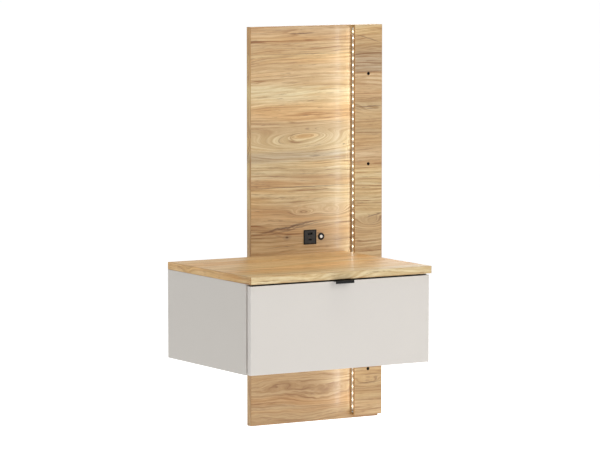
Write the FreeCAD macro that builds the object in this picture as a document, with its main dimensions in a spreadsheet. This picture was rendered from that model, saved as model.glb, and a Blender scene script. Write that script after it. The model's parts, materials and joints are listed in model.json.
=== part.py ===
"""Wall-hung bedside cabinet: one drawer under an oak top, hung on a tall oak back panel with a light strip.

Frame: origin at the centre of the main panel's wall face, +Z up, the drawer opens along -Y, +X to the right
of someone who faces it. Every length is in millimetres.
"""

import FreeCAD, Part
import math
import os
import Sketcher
from FreeCAD import Placement, Rotation, Vector

doc = FreeCAD.newDocument("BedsideCabinet")

CHIP_COUNT = 57
SCREW_COUNT = 5
BALLS_A_ROW = 7
CLIPS_A_CHANNEL = 3
SPRING_TURNS = 4
NUT_CORNERS = 2 / math.sqrt(3)

SIZES = {
    # main panel and strip board
    "panelWidth": 367,
    "panelHeight": 980,
    "panelThick": 18,
    "stripWidth": 80,
    "stripThick": 18,
    "stripShort": 8,
    "edgeRound": 0.8,
    "boltDia": 7,
    "boltLow": 123,
    "boltStepWide": 512,
    "boltStepNarrow": 224,
    "stripScrewLow": 60,
    "stripScrewStep": 215,
    "woodScrewDia": 4,
    "woodScrewHead": 8,
    "woodScrewSink": 3,
    "woodScrewLong": 30,
    # light strip
    "profileWidth": 9,
    "profileDepth": 3.5,
    "profileWall": 1,
    "profileLong": 953,
    "profileDrop": 6,
    "profileGap": 0.1,
    "grooveTail": 10,
    "tailDepth": 7,
    "tapeWidth": 6.6,
    "tapeThick": 0.4,
    "tapeLong": 950,
    "chipDrop": 16.5,
    "chipPitch": 16.6667,
    "chipTall": 5,
    "chipWide": 5,
    "chipThick": 1.6,
    # charging socket
    "socketSide": 36,
    "socketAcross": 169,
    "socketRise": 40,
    "bezelThick": 1.8,
    "bezelRim": 2.2,
    "bezelRound": 0.6,
    "socketFaceDrop": 0.6,
    "socketBackGap": 2.7,
    "cutOutGap": 0.3,
    "portAWide": 13,
    "portATall": 5.6,
    "portADeep": 12,
    "portARise": 8.5,
    "portCWide": 9.2,
    "portCTall": 3.4,
    "portCDeep": 8,
    "portCDrop": 6.5,
    "tongueAWide": 11,
    "tongueAThick": 1.8,
    "tongueALong": 9,
    "tongueCWide": 6.6,
    "tongueCThick": 0.7,
    "tongueCLong": 6,
    # light switch
    "switchPitch": 32,
    "ringDia": 18,
    "ringThick": 1.6,
    "ringSlope": 0.7,
    "barrelDia": 12,
    "barrelGap": 0.1,
    "buttonDia": 8,
    "buttonGap": 0.1,
    "buttonProud": 0.5,
    "buttonLong": 6.5,
    "buttonHollow": 4,
    "buttonWall": 0.8,
    "buttonBevel": 0.6,
    "springRadius": 2.4,
    "springWire": 0.8,
    "springRoom": 4,
    "nutAcross": 16,
    "nutThick": 2.4,
    "nutClear": 3.7,
    "nutGap": 0.1,
    "terminalSide": 10,
    "terminalEnd": 2,
    # leads behind the panel
    "channelWidth": 12,
    "channelDeep": 9,
    "leadDia": 3.5,
    "leadBend": 5,
    "leadHoleDia": 6,
    "leadHoleInset": 3.5,
    "inletWide": 12,
    "inletTall": 14,
    "inletDeep": 8.6,
    "inletPortWide": 9,
    "inletPortThick": 5,
    "inletPortDeep": 9,
    "inletRise": 40,
    "clipThick": 1.2,
    "clipTall": 8,
    "clipInset": 60,
    # carcase
    "cabinetWidth": 500,
    "carcaseDepth": 376,
    "carcaseHeight": 215,
    "cabinetRise": 186,
    "lightGap": 18,
    "sideThick": 16,
    "bottomThick": 16,
    "backThick": 16,
    "railThick": 16,
    "railDepth": 70,
    "topThick": 18,
    "topDepth": 400,
    "dowelDia": 8,
    "dowelLong": 30,
    "dowelSeat": 10,
    "dowelFront": 60,
    "dowelRear": 300,
    "backDowelInset": 85,
    "camDia": 15,
    "camThick": 12.5,
    "camSlotWide": 1.6,
    "camSlotDeep": 2.5,
    "camReach": 34,
    "camFront": 110,
    "camRear": 250,
    "camBoltDia": 6,
    "camBoltSeat": 10,
    "camBoltHoleDia": 8,
    "hangBoltDia": 6,
    "hangBoltLong": 28,
    "hangHeadDia": 14,
    "hangHeadThick": 3.5,
    "hangSocketDia": 4,
    "hangSocketDeep": 2,
    "hangBoltIn": 40,
    "hangBoltAcross": 200,
    "hangBoltInset": 50,
    "insertDia": 10,
    "insertLong": 13,
    # drawer
    "frontThick": 16,
    "frontGap": 2,
    "frontTopGap": 4,
    "frontSideGap": 3.5,
    "frontLowGap": 1,
    "drawerRise": 14,
    "drawerHeight": 130,
    "drawerThick": 12,
    "drawerLong": 348,
    "drawerSheet": 3,
    "sheetRise": 10,
    "sheetSeat": 5,
    "sheetGap": 0.2,
    "pegDia": 6,
    "pegLong": 24,
    "pegSeat": 9,
    "pegInset": 25,
    "bumperDia": 8,
    "bumperTip": 6,
    "bumperGap": 0.1,
    "bumperInset": 20,
    # edge pull
    "pullWidth": 50,
    "pullReach": 19,
    "pullLip": 6.5,
    "pullThick": 1.5,
    "pullBack": 24,
    "pullBend": 1.2,
    "pullGap": 0.3,
    "pullScrewPitch": 32,
    "pullScrewDia": 3.5,
    "pullScrewHead": 6,
    "pullScrewTip": 5,
    "pullScrewProud": 1,
    "pullScrewLong": 12,
    # telescopic runners
    "runnerWidth": 12.7,
    "runnerHeight": 45,
    "runnerLong": 350,
    "runnerBack": 2,
    "runnerUp": 50,
    "runnerSheet": 1.2,
    "flangeDepth": 9,
    "middleExtra": 1,
    "ballDia": 3.4,
    "ballGap": 0.35,
    "cageThick": 0.8,
    "cageLong": 175,
    "cageShort": 1,
    "cageFront": 87,
    "ballEnd": 12,
    "ballPitch": 25,
    "memberStep": 3,
    "memberGap": 0.5,
    "ballHoleGap": 0.1,
    "runnerScrewDia": 4,
    "runnerScrewHead": 7,
    "runnerScrewLong": 12,
    "runnerAccessDia": 10,
    "runnerScrewEnd": 35,
}

# Heights and places worked out from the sizes. Each may use the ones above it.
PLACES = {
    "panelLeft": "-Size.panelWidth / 2",
    "panelRight": "Size.panelWidth / 2",
    "panelLow": "-Size.panelHeight / 2",
    "panelTop": "Size.panelHeight / 2",
    "panelFace": "-Size.panelThick",
    "stripLeft": "panelRight - Size.stripWidth",
    "stripFace": "panelFace - Size.stripThick",
    "stripLow": "panelLow + Size.stripShort",
    "stripTall": "Size.panelHeight - Size.stripShort",
    "boltAcross": "Size.panelWidth - Size.stripWidth / 2",
    "boltMid": "Size.boltLow + Size.boltStepWide",
    "boltHigh": "boltMid + Size.boltStepNarrow",
    "profileLow": "panelTop - Size.profileDrop - Size.profileLong",
    "profileFront": "panelFace - (Size.stripThick + Size.profileWidth) / 2",
    "grooveWidth": "Size.profileWidth + 2 * Size.profileGap",
    "grooveIn": "(Size.stripThick - grooveWidth) / 2",
    "grooveLow": "profileLow - Size.grooveTail",
    "tapeFace": "stripLeft + Size.profileDepth - Size.profileWall - Size.tapeThick",
    "cabinetRight": "stripLeft - Size.lightGap",
    "cabinetLeft": "cabinetRight - Size.cabinetWidth",
    "carcaseFront": "panelFace - Size.carcaseDepth",
    "carcaseLow": "panelLow + Size.cabinetRise",
    "carcaseTop": "carcaseLow + Size.carcaseHeight",
    "topFace": "carcaseTop + Size.topThick",
    "innerLeft": "cabinetLeft + Size.sideThick",
    "innerRight": "cabinetRight - Size.sideThick",
    "innerWidth": "innerRight - innerLeft",
    "cabinetMiddle": "(cabinetLeft + cabinetRight) / 2",
    "bottomFace": "carcaseLow + Size.bottomThick",
    "bottomDepth": "Size.carcaseDepth - Size.backThick",
    "backFace": "panelFace - Size.backThick",
    "hangLeft": "panelLeft + Size.hangBoltIn",
    "hangLow": "carcaseLow + Size.hangBoltInset",
    "hangHigh": "carcaseTop - Size.hangBoltInset",
    "socketX": "panelLeft + Size.socketAcross",
    "socketZ": "topFace + Size.socketRise",
    "socketBodySide": "Size.socketSide - 2 * Size.bezelRim",
    "cutOutSide": "socketBodySide + 2 * Size.cutOutGap",
    "socketFace": "panelFace - Size.bezelThick + Size.socketFaceDrop",
    "socketRear": "-Size.socketBackGap",
    "switchX": "socketX + Size.switchPitch",
    "ringFace": "panelFace - Size.ringThick",
    "nutFront": "-Size.channelDeep",
    "nutRear": "nutFront + Size.nutThick",
    "terminalFront": "nutRear + Size.nutGap",
    "buttonFace": "ringFace - Size.buttonProud",
    "boreEnd": "buttonFace + Size.buttonLong + Size.springRoom",
    "leadY": "-Size.channelDeep / 2",
    "leadHoleX": "stripLeft + Size.leadHoleInset",
    "leadHoleZ": "grooveLow + Size.grooveTail / 2",
    "inletLow": "panelLow + Size.inletRise",
    "inletTop": "inletLow + Size.inletTall",
    "drawerLeft": "innerLeft + Size.runnerWidth",
    "drawerRight": "innerRight - Size.runnerWidth",
    "drawerInner": "drawerRight - drawerLeft - 2 * Size.drawerThick",
    "frontRear": "carcaseFront - Size.frontGap",
    "frontFace": "frontRear - Size.frontThick",
    "frontLeft": "cabinetLeft + Size.frontSideGap",
    "frontWidth": "Size.cabinetWidth - 2 * Size.frontSideGap",
    "frontLow": "carcaseLow + Size.frontLowGap",
    "frontTop": "carcaseTop - Size.frontTopGap",
    "frontTall": "frontTop - frontLow",
    "drawerLow": "bottomFace + Size.drawerRise",
    "drawerTop": "drawerLow + Size.drawerHeight",
    "drawerRear": "frontRear + Size.drawerLong",
    "sheetLow": "drawerLow + Size.sheetRise",
    "runnerZ": "drawerLow + Size.runnerUp",
    "runnerFront": "carcaseFront + Size.runnerBack",
    "cageStart": "runnerFront + Size.cageFront",
}

SIDES = {"left": 1, "right": -1}
DOWEL_BACKS = ("Size.dowelFront", "Size.dowelRear")
CAM_BACKS = ("Size.camFront", "Size.camRear")


def fill(sheet, rows):
    """Writes one alias and its value or formula to each row of a sheet."""
    for row, (alias, value) in enumerate(rows.items(), start=1):
        sheet.set(f"A{row}", alias)
        sheet.set(f"B{row}", str(value))
        sheet.setAlias(f"B{row}", alias)


sizeSheet = doc.addObject("Spreadsheet::Sheet", "Size")
fill(sizeSheet, SIZES)
doc.recompute()
placeSheet = doc.addObject("Spreadsheet::Sheet", "Place")
fill(placeSheet, {alias: "=" + formula for alias, formula in PLACES.items()})
doc.recompute()


def size(alias):
    return float(sizeSheet.get(alias))


def place(alias):
    return float(placeSheet.get(alias))


# ---- simple solids, whose sizes and places are bound to the sheets

TURNS = {
    "+X": Rotation(Vector(0, 1, 0), 90),
    "-X": Rotation(Vector(0, 1, 0), -90),
    "+Y": Rotation(Vector(1, 0, 0), -90),
    "-Y": Rotation(Vector(1, 0, 0), 90),
    "+Z": Rotation(),
    "-Z": Rotation(Vector(1, 0, 0), 180),
}


def bind(item, links, at, turn="+Z"):
    """Ties an object's sizes and its place to expressions, and turns its own Z to the way named."""
    item.Placement = Placement(Vector(), TURNS[turn])
    for name, expression in links.items():
        item.setExpression(name, expression)
    for axis, expression in zip("xyz", at):
        item.setExpression("Placement.Base." + axis, expression)
    return item


def block(name, low, lengths):
    links = dict(zip(("Length", "Width", "Height"), lengths))
    return bind(doc.addObject("Part::Box", name), links, low)


def rod(name, foot, diameter, length, way="+Z"):
    links = {"Radius": f"({diameter}) / 2", "Height": length}
    return bind(doc.addObject("Part::Cylinder", name), links, foot, way)


def taper(name, foot, diameter, endDiameter, length, way="+Z"):
    links = {"Radius1": f"({diameter}) / 2", "Radius2": f"({endDiameter}) / 2", "Height": length}
    return bind(doc.addObject("Part::Cone", name), links, foot, way)


def fuse(name, pieces):
    item = doc.addObject("Part::MultiFuse", name)
    item.Shapes = pieces
    return item


def cut(name, base, tools):
    item = doc.addObject("Part::Cut", name)
    item.Base = base
    item.Tool = tools[0] if len(tools) == 1 else fuse(name + "_tools", tools)
    return item


def group(name, pieces):
    """Separate solids that share one node, such as a set of screws."""
    item = doc.addObject("Part::Compound", name)
    item.Links = pieces
    return item


def along(position, way, distance):
    """Expressions for the point that lies a distance from a position, along an axis."""
    sign, axis = way[0], "XYZ".index(way[1])
    moved = list(position)
    moved[axis] = f"{moved[axis]} {sign} ({distance})"
    return moved


def screw(name, seat, way, diameter, head, sink, length):
    """A countersunk screw: its head's top is at the seat, and its shank runs the way named."""
    shankStart = along(seat, way, sink)
    cone = taper(name + "_head", seat, head, diameter, sink, way)
    shank = rod(name + "_shank", shankStart, diameter, f"{length} - {sink}", way)
    return fuse(name, [cone, shank])


# ---- boards, made as one padded rectangle that is then machined from its faces

MACHINED = {}
FACES = {
    "front": ("XZ_Plane", None, False),
    "back": ("XZ_Plane", 1, True),
    "left": ("YZ_Plane", None, True),
    "right": ("YZ_Plane", 0, False),
    "bottom": ("XY_Plane", None, True),
    "top": ("XY_Plane", 2, False),
}


def originPlane(body, role):
    return next(feature for feature in body.Origin.OriginFeatures if feature.Role == role)


def newSketch(body, name, role, offset=None):
    sketch = body.newObject("Sketcher::SketchObject", name)
    sketch.AttachmentSupport = [(originPlane(body, role), "")]
    sketch.MapMode = "FlatFace"
    if offset:
        sketch.setExpression("AttachmentOffset.Base.z", offset)
    return sketch


def hold(sketch, kind, name, expression, *where):
    """Adds one driving dimension to a sketch and ties it to an expression."""
    index = sketch.addConstraint(Sketcher.Constraint(kind, *where, 1.0))
    sketch.renameConstraint(index, name)
    sketch.setExpression("Constraints." + name, expression)


def addRectangle(sketch, tag, across, up, width, height):
    corners = [Vector(1, 1, 0), Vector(9, 1, 0), Vector(9, 9, 0), Vector(1, 9, 0)]
    first = sketch.GeometryCount
    for start, end in zip(corners, corners[1:] + corners[:1]):
        sketch.addGeometry(Part.LineSegment(start, end), False)
    for side in range(4):
        sketch.addConstraint(Sketcher.Constraint("Coincident", first + side, 2, first + (side + 1) % 4, 1))
        sketch.addConstraint(Sketcher.Constraint("Vertical" if side % 2 else "Horizontal", first + side))
    hold(sketch, "DistanceX", f"across{tag}", across, first, 1)
    hold(sketch, "DistanceY", f"up{tag}", up, first, 1)
    hold(sketch, "DistanceX", f"width{tag}", width, first, 1, first, 2)
    hold(sketch, "DistanceY", f"height{tag}", height, first + 1, 1, first + 1, 2)


def addCircle(sketch, tag, across, up, diameter):
    circle = sketch.addGeometry(Part.Circle(Vector(5, 5, 0), Vector(0, 0, 1), 2), False)
    hold(sketch, "DistanceX", f"across{tag}", across, circle, 3)
    hold(sketch, "DistanceY", f"up{tag}", up, circle, 3)
    hold(sketch, "Diameter", f"dia{tag}", diameter, circle)


def addShapes(sketch, shapes):
    for tag, shape in enumerate(shapes):
        (addCircle if len(shape) == 3 else addRectangle)(sketch, tag, *shape)


def board(name, low, lengths, rounding="Size.edgeRound"):
    """A board from its low corner, with softened edges. Its own frame starts at that corner."""
    body = doc.addObject("PartDesign::Body", name)
    bind(body, {}, low)
    sketch = newSketch(body, name + "_outline", "XY_Plane")
    addShapes(sketch, [("0", "0", lengths[0], lengths[1])])
    pad = body.newObject("PartDesign::Pad", name + "_pad")
    pad.Profile = sketch
    pad.setExpression("Length", lengths[2])
    doc.recompute()
    if rounding:
        soft = body.newObject("PartDesign::Fillet", name + "_edges")
        soft.Base = (pad, [f"Edge{n + 1}" for n in range(len(pad.Shape.Edges))])
        soft.setExpression("Radius", rounding)
        doc.recompute()
    MACHINED[body.Name] = lengths
    return body


def machine(body, name, face, shapes, depth=None):
    """Cuts circles and rectangles into one face of a board, to a depth or right through."""
    role, axis, reverse = FACES[face]
    reach = None if axis is None else MACHINED[body.Name][axis]
    offset = f"-({reach})" if face == "back" else reach
    sketch = newSketch(body, f"{body.Name}_{name}_outline", role, offset)
    addShapes(sketch, shapes)
    before = body.Shape.Volume
    pocket = body.newObject("PartDesign::Pocket", f"{body.Name}_{name}")
    pocket.Profile = sketch
    pocket.Reversed = reverse
    if depth is None:
        pocket.Type = "ThroughAll"
    else:
        pocket.setExpression("Length", depth)
    doc.recompute()
    if not body.Shape.Volume < before - 0.01:
        raise RuntimeError(f"{body.Name}: {name} cuts nothing")


def turned(name, at, profile, way):
    """A turned piece: a profile of radius and height pairs, spun about its own Z and turned to the way."""
    body = doc.addObject("PartDesign::Body", name)
    bind(body, {}, at, way)
    sketch = newSketch(body, name + "_profile", "XZ_Plane")
    count = len(profile)
    for corner in range(count):
        start = Vector(5 + math.cos(corner), 5 + math.sin(corner), 0)
        end = Vector(5 + math.cos(corner + 1), 5 + math.sin(corner + 1), 0)
        sketch.addGeometry(Part.LineSegment(start, end), False)
    for corner, (radius, height) in enumerate(profile):
        sketch.addConstraint(Sketcher.Constraint("Coincident", corner, 2, (corner + 1) % count, 1))
        hold(sketch, "DistanceX", f"radius{corner}", radius, corner, 1)
        hold(sketch, "DistanceY", f"height{corner}", height, corner, 1)
    spin = body.newObject("PartDesign::Revolution", name + "_spin")
    spin.Profile = sketch
    spin.ReferenceAxis = (sketch, ["V_Axis"])
    spin.Angle = 360
    doc.recompute()
    return body


# ---- back panel

def makeMainPanel():
    body = board(
        "main_panel",
        ("Place.panelLeft", "Place.panelFace", "Place.panelLow"),
        ("Size.panelWidth", "Size.panelThick", "Size.panelHeight"),
    )
    rises = ("Size.boltLow", "Place.boltMid", "Place.boltHigh")
    bolts = [("Place.boltAcross", up, "Size.boltDia") for up in rises]
    machine(body, "bolt_holes", "front", bolts)
    socketUp = "(Place.socketZ - Place.panelLow)"
    switchAcross = "(Size.socketAcross + Size.switchPitch)"
    half = "Place.cutOutSide / 2"
    cutOut = (f"Size.socketAcross - {half}", f"{socketUp} - {half}", "Place.cutOutSide", "Place.cutOutSide")
    machine(body, "socket_cut_out", "front", [cutOut])
    switchBore = (switchAcross, socketUp, "Size.barrelDia + 2 * Size.barrelGap")
    machine(body, "switch_bore", "front", [switchBore])
    recess = (switchAcross, socketUp, f"Size.nutAcross * {NUT_CORNERS} + Size.nutClear")
    machine(body, "nut_recess", "back", [recess], "Size.channelDeep")
    leadUp = "(Place.leadHoleZ - Place.panelLow)"
    leadAcross = "(Place.leadHoleX - Place.panelLeft)"
    halfWay = "Size.channelWidth / 2"
    inletChannel = (f"Size.socketAcross - {halfWay}", "0", "Size.channelWidth", socketUp)
    machine(body, "inlet_channel", "back", [inletChannel], "Size.channelDeep")
    linkChannel = ("Size.socketAcross", f"{socketUp} - {halfWay}", "Size.switchPitch", "Size.channelWidth")
    machine(body, "link_channel", "back", [linkChannel], "Size.channelDeep")
    corner = (f"{switchAcross} - {halfWay}", f"{leadUp} - {halfWay}")
    lightDrop = (*corner, "Size.channelWidth", f"{socketUp} - {leadUp}")
    machine(body, "light_channel", "back", [lightDrop], "Size.channelDeep")
    lightRun = (*corner, f"{leadAcross} - {switchAcross} + Size.channelWidth", "Size.channelWidth")
    machine(body, "light_run", "back", [lightRun], "Size.channelDeep")
    machine(body, "lead_hole", "front", [(leadAcross, leadUp, "Size.leadHoleDia")])
    inserts = [
        (f"{across} - Place.panelLeft", f"{up} - Place.panelLow", "Size.insertDia")
        for across, up in hangPlaces()
    ]
    machine(body, "insert_bores", "front", inserts, "Size.insertLong")
    screws = [(across, up, "Size.woodScrewHead") for across, up in stripScrewPlaces()]
    machine(body, "screw_heads", "back", screws, "Size.woodScrewSink")
    shanks = [(across, up, "Size.woodScrewDia") for across, up in stripScrewPlaces()]
    machine(body, "screw_shanks", "back", shanks)


def stripScrewPlaces():
    """Across and up from the main panel's low corner, along the middle of the strip."""
    rises = [f"Size.stripScrewLow + {n} * Size.stripScrewStep" for n in range(SCREW_COUNT)]
    return [("Place.boltAcross", up) for up in rises]


def hangPlaces():
    """Where the four bolts carry the carcase on the main panel."""
    columns = ("Place.hangLeft", "(Place.hangLeft + Size.hangBoltAcross)")
    return [(across, up) for across in columns for up in ("Place.hangLow", "Place.hangHigh")]


def makeStripBoard():
    body = board(
        "strip_board",
        ("Place.stripLeft", "Place.stripFace", "Place.stripLow"),
        ("Size.stripWidth", "Size.stripThick", "Place.stripTall"),
    )
    middle = "Size.stripWidth / 2"
    bolts = [
        (middle, f"{up} - Size.stripShort", "Size.boltDia")
        for up in ("Size.boltLow", "Place.boltMid", "Place.boltHigh")
    ]
    machine(body, "bolt_holes", "front", bolts)
    groove = (
        "Place.grooveIn",
        "Place.grooveLow - Place.stripLow",
        "Place.grooveWidth",
        "Size.profileLong + Size.grooveTail + Size.profileGap",
    )
    machine(body, "light_groove", "left", [groove], "Size.profileDepth")
    tail = (*groove[:3], "Size.grooveTail")
    machine(body, "lead_groove", "left", [tail], "Size.tailDepth")
    lead = ("Size.leadHoleInset", "Place.leadHoleZ - Place.stripLow", "Size.leadHoleDia")
    machine(body, "lead_hole", "back", [lead], "Place.grooveIn + 1")
    pilots = [(middle, f"{up} - Size.stripShort", "Size.woodScrewDia") for _, up in stripScrewPlaces()]
    machine(body, "screw_pilots", "back", pilots, "Size.woodScrewLong - Size.panelThick")


def makeStripScrews():
    screws = []
    for n, (across, up) in enumerate(stripScrewPlaces()):
        seat = (f"Place.panelLeft + {across}", "0", f"Place.panelLow + {up}")
        sizes = ("Size.woodScrewDia", "Size.woodScrewHead", "Size.woodScrewSink", "Size.woodScrewLong")
        screws.append(screw(f"strip_screw_{n}", seat, "-Y", *sizes))
    group("strip_screws", screws)


def makeLight():
    outer = block(
        "profile_stock",
        ("Place.stripLeft", "Place.profileFront", "Place.profileLow"),
        ("Size.profileDepth", "Size.profileWidth", "Size.profileLong"),
    )
    inner = block(
        "profile_bore",
        ("Place.stripLeft - 1", "Place.profileFront + Size.profileWall", "Place.profileLow - 1"),
        (
            "Size.profileDepth - Size.profileWall + 1",
            "Size.profileWidth - 2 * Size.profileWall",
            "Size.profileLong + 2",
        ),
    )
    cut("led_profile", outer, [inner])
    tapeY = "Place.profileFront + (Size.profileWidth - Size.tapeWidth) / 2"
    tapeZ = "Place.profileLow + (Size.profileLong - Size.tapeLong) / 2"
    block("led_tape", ("Place.tapeFace", tapeY, tapeZ),
          ("Size.tapeThick", "Size.tapeWidth", "Size.tapeLong"))
    chips = []
    for n in range(CHIP_COUNT):
        low = (
            "Place.tapeFace - Size.chipThick",
            "Place.profileFront + (Size.profileWidth - Size.chipWide) / 2",
            f"Place.panelTop - Size.chipDrop - {n} * Size.chipPitch - Size.chipTall / 2",
        )
        chips.append(block(f"chip_{n}", low, ("Size.chipThick", "Size.chipWide", "Size.chipTall")))
    group("led_chips", chips)


# ---- socket, switch and leads

def makeSocket():
    half = "Size.socketSide / 2"
    bezel = board(
        "usb_bezel",
        (f"Place.socketX - {half}", "Place.panelFace - Size.bezelThick", f"Place.socketZ - {half}"),
        ("Size.socketSide", "Size.bezelThick", "Size.socketSide"),
        "Size.bezelRound",
    )
    window = ("Size.bezelRim", "Size.bezelRim", "Place.socketBodySide", "Place.socketBodySide")
    machine(bezel, "window", "front", [window])
    halfBody = "Place.socketBodySide / 2"
    body = board(
        "usb_body",
        (f"Place.socketX - {halfBody}", "Place.socketFace", f"Place.socketZ - {halfBody}"),
        ("Place.socketBodySide", "Place.socketRear - Place.socketFace", "Place.socketBodySide"),
        None,
    )
    ports = (
        ("port_a", "Size.portAWide", "Size.portATall", "Size.portADeep", "Size.portARise"),
        ("port_c", "Size.portCWide", "Size.portCTall", "Size.portCDeep", "-Size.portCDrop"),
    )
    for name, wide, tall, deep, rise in ports:
        mouth = (f"{halfBody} - {wide} / 2", f"{halfBody} + {rise} - {tall} / 2", wide, tall)
        machine(body, name, "front", [mouth], deep)
    tongueA = block(
        "tongue_a",
        (
            "Place.socketX - Size.tongueAWide / 2",
            "Place.socketFace + Size.portADeep - Size.tongueALong",
            "Place.socketZ + Size.portARise",
        ),
        ("Size.tongueAWide", "Size.tongueALong", "Size.tongueAThick"),
    )
    tongueC = block(
        "tongue_c",
        (
            "Place.socketX - Size.tongueCWide / 2",
            "Place.socketFace + Size.portCDeep - Size.tongueCLong",
            "Place.socketZ - Size.portCDrop - Size.tongueCThick / 2",
        ),
        ("Size.tongueCWide", "Size.tongueCLong", "Size.tongueCThick"),
    )
    group("usb_tongues", [tongueA, tongueC])


def makeSwitch():
    centre = ("Place.switchX", "Place.panelFace", "Place.socketZ")
    bore = "Size.buttonDia / 2 + Size.buttonGap"
    outer = "Size.ringDia / 2"
    ring = [
        (bore, "0"),
        (outer, "0"),
        (outer, "Size.ringThick - Size.ringSlope"),
        (f"{outer} - Size.ringSlope", "Size.ringThick"),
        (f"{bore} + Size.ringSlope", "Size.ringThick"),
        (bore, "Size.ringThick - Size.ringSlope"),
    ]
    turned("switch_ring", centre, ring, "-Y")
    barrel = rod("barrel_stock", centre, "Size.barrelDia", "Place.terminalFront - Place.panelFace", "+Y")
    terminal = block(
        "terminal_block",
        (
            "Place.switchX - Size.terminalSide / 2",
            "Place.terminalFront",
            "Place.socketZ - Size.terminalSide / 2",
        ),
        ("Size.terminalSide", "-Size.terminalEnd - Place.terminalFront", "Size.terminalSide"),
    )
    hole = rod("barrel_bore", centre, f"2 * ({bore})", "Place.boreEnd - Place.panelFace", "+Y")
    cut("switch_body", fuse("switch_stock", [barrel, terminal]), [hole])
    makeNut()
    face = ("Place.switchX", "Place.buttonFace", "Place.socketZ")
    cap = "Size.buttonDia / 2"
    button = [
        ("0", "0"),
        (f"{cap} - Size.buttonBevel", "0"),
        (cap, "Size.buttonBevel"),
        (cap, "Size.buttonLong"),
        (f"{cap} - Size.buttonWall", "Size.buttonLong"),
        (f"{cap} - Size.buttonWall", "Size.buttonLong - Size.buttonHollow"),
        ("0", "Size.buttonLong - Size.buttonHollow"),
    ]
    turned("switch_button", face, button, "+Y")
    makeSpring()


def makeNut():
    """The hexagonal nut that clamps the switch behind the panel."""
    stock = doc.addObject("Part::Prism", "nut_stock")
    links = {"Circumradius": f"Size.nutAcross * {NUT_CORNERS} / 2", "Height": "Size.nutThick"}
    bind(stock, links, ("Place.switchX", "Place.nutFront", "Place.socketZ"), "+Y")
    hole = rod("nut_bore", ("Place.switchX", "Place.nutFront - 1", "Place.socketZ"), "Size.barrelDia",
               "Size.nutThick + 2", "+Y")
    cut("switch_nut", stock, [hole])


def makeSpring():
    """The coil that pushes the button back out, from the bore's end to the button's hollow."""
    low = place("buttonFace") + size("buttonLong") - size("buttonHollow")
    room = place("boreEnd") - low - size("springWire")
    helix = Part.makeHelix(room / SPRING_TURNS, room, size("springRadius"))
    wire = Part.Wire([Part.Edge(Part.Circle(Vector(size("springRadius"), 0, 0), Vector(0, 1, 0),
                                            size("springWire") / 2))])
    spring = doc.addObject("Part::Feature", "switch_spring")
    spring.Shape = Part.Wire(helix.Edges).makePipeShell([wire], True, True)
    start = Vector(place("switchX"), low + size("springWire") / 2, place("socketZ"))
    spring.Placement = Placement(start, TURNS["+Y"])


def makeLead(name, points, bend):
    """A round lead along straight runs joined by tangent arcs."""
    edges = []
    start = points[0]
    for before, corner, after in zip(points, points[1:], points[2:]):
        into = (corner - before).normalize()
        out = (after - corner).normalize()
        leave = corner - into * bend
        rejoin = corner + out * bend
        middle = corner + (out - into) * bend * (1 - math.sqrt(0.5))
        edges.append(Part.LineSegment(start, leave).toShape())
        edges.append(Part.Arc(leave, middle, rejoin).toShape())
        start = rejoin
    edges.append(Part.LineSegment(start, points[-1]).toShape())
    path = Part.Wire(edges)
    direction = points[1] - points[0]
    section = Part.Wire([Part.Edge(Part.Circle(points[0], direction, size("leadDia") / 2))])
    lead = doc.addObject("Part::Feature", name)
    lead.Shape = path.makePipeShell([section], True, False)
    expected = path.Length * math.pi * (size("leadDia") / 2) ** 2
    print(name, "length", round(path.Length, 1), "volume ratio", round(lead.Shape.Volume / expected, 4))


def makeLeads():
    y = place("leadY")
    socketLow = place("socketZ") - place("socketBodySide") / 2
    fromInlet = Vector(place("socketX"), y, place("inletTop"))
    makeLead("power_lead", [fromInlet, Vector(place("socketX"), y, socketLow)], 0)
    linkStart = Vector(place("socketX") + place("socketBodySide") / 2, y, place("socketZ"))
    linkEnd = Vector(place("switchX") - size("terminalSide") / 2, y, place("socketZ"))
    makeLead("link_lead", [linkStart, linkEnd], 0)
    grooveY = place("profileFront") + size("profileWidth") / 2
    route = [
        Vector(place("switchX"), y, place("socketZ") - size("terminalSide") / 2),
        Vector(place("switchX"), y, place("leadHoleZ")),
        Vector(place("leadHoleX"), y, place("leadHoleZ")),
        Vector(place("leadHoleX"), grooveY, place("leadHoleZ")),
    ]
    makeLead("led_lead", route, size("leadBend"))


def makeInlet():
    """The low-voltage inlet at the foot of the lead channel. Its port opens downwards."""
    stock = block(
        "inlet_stock",
        (
            "Place.socketX - Size.inletWide / 2",
            "-(Size.channelDeep + Size.inletDeep) / 2",
            "Place.inletLow",
        ),
        ("Size.inletWide", "Size.inletDeep", "Size.inletTall"),
    )
    port = block(
        "inlet_port",
        (
            "Place.socketX - Size.inletPortWide / 2",
            "-(Size.channelDeep + Size.inletPortThick) / 2",
            "Place.inletLow - 1",
        ),
        ("Size.inletPortWide", "Size.inletPortThick", "Size.inletPortDeep + 1"),
    )
    cut("power_inlet", stock, [port])


def makeLeadClips():
    clips = []
    columns = (("Place.socketX", "Place.inletTop"), ("Place.switchX", "Place.leadHoleZ"))
    for column, (x, foot) in enumerate(columns):
        run = f"(Place.socketZ - {foot} - 2 * Size.clipInset - Size.clipTall)"
        for n in range(CLIPS_A_CHANNEL):
            low = (
                f"{x} - Size.channelWidth / 2",
                "-2 * Size.clipThick",
                f"{foot} + Size.clipInset + {run} * {n} / {CLIPS_A_CHANNEL - 1}",
            )
            lengths = ("Size.channelWidth", "Size.clipThick", "Size.clipTall")
            clips.append(block(f"clip_{column}_{n}", low, lengths))
    group("lead_clips", clips)


# ---- carcase

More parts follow.
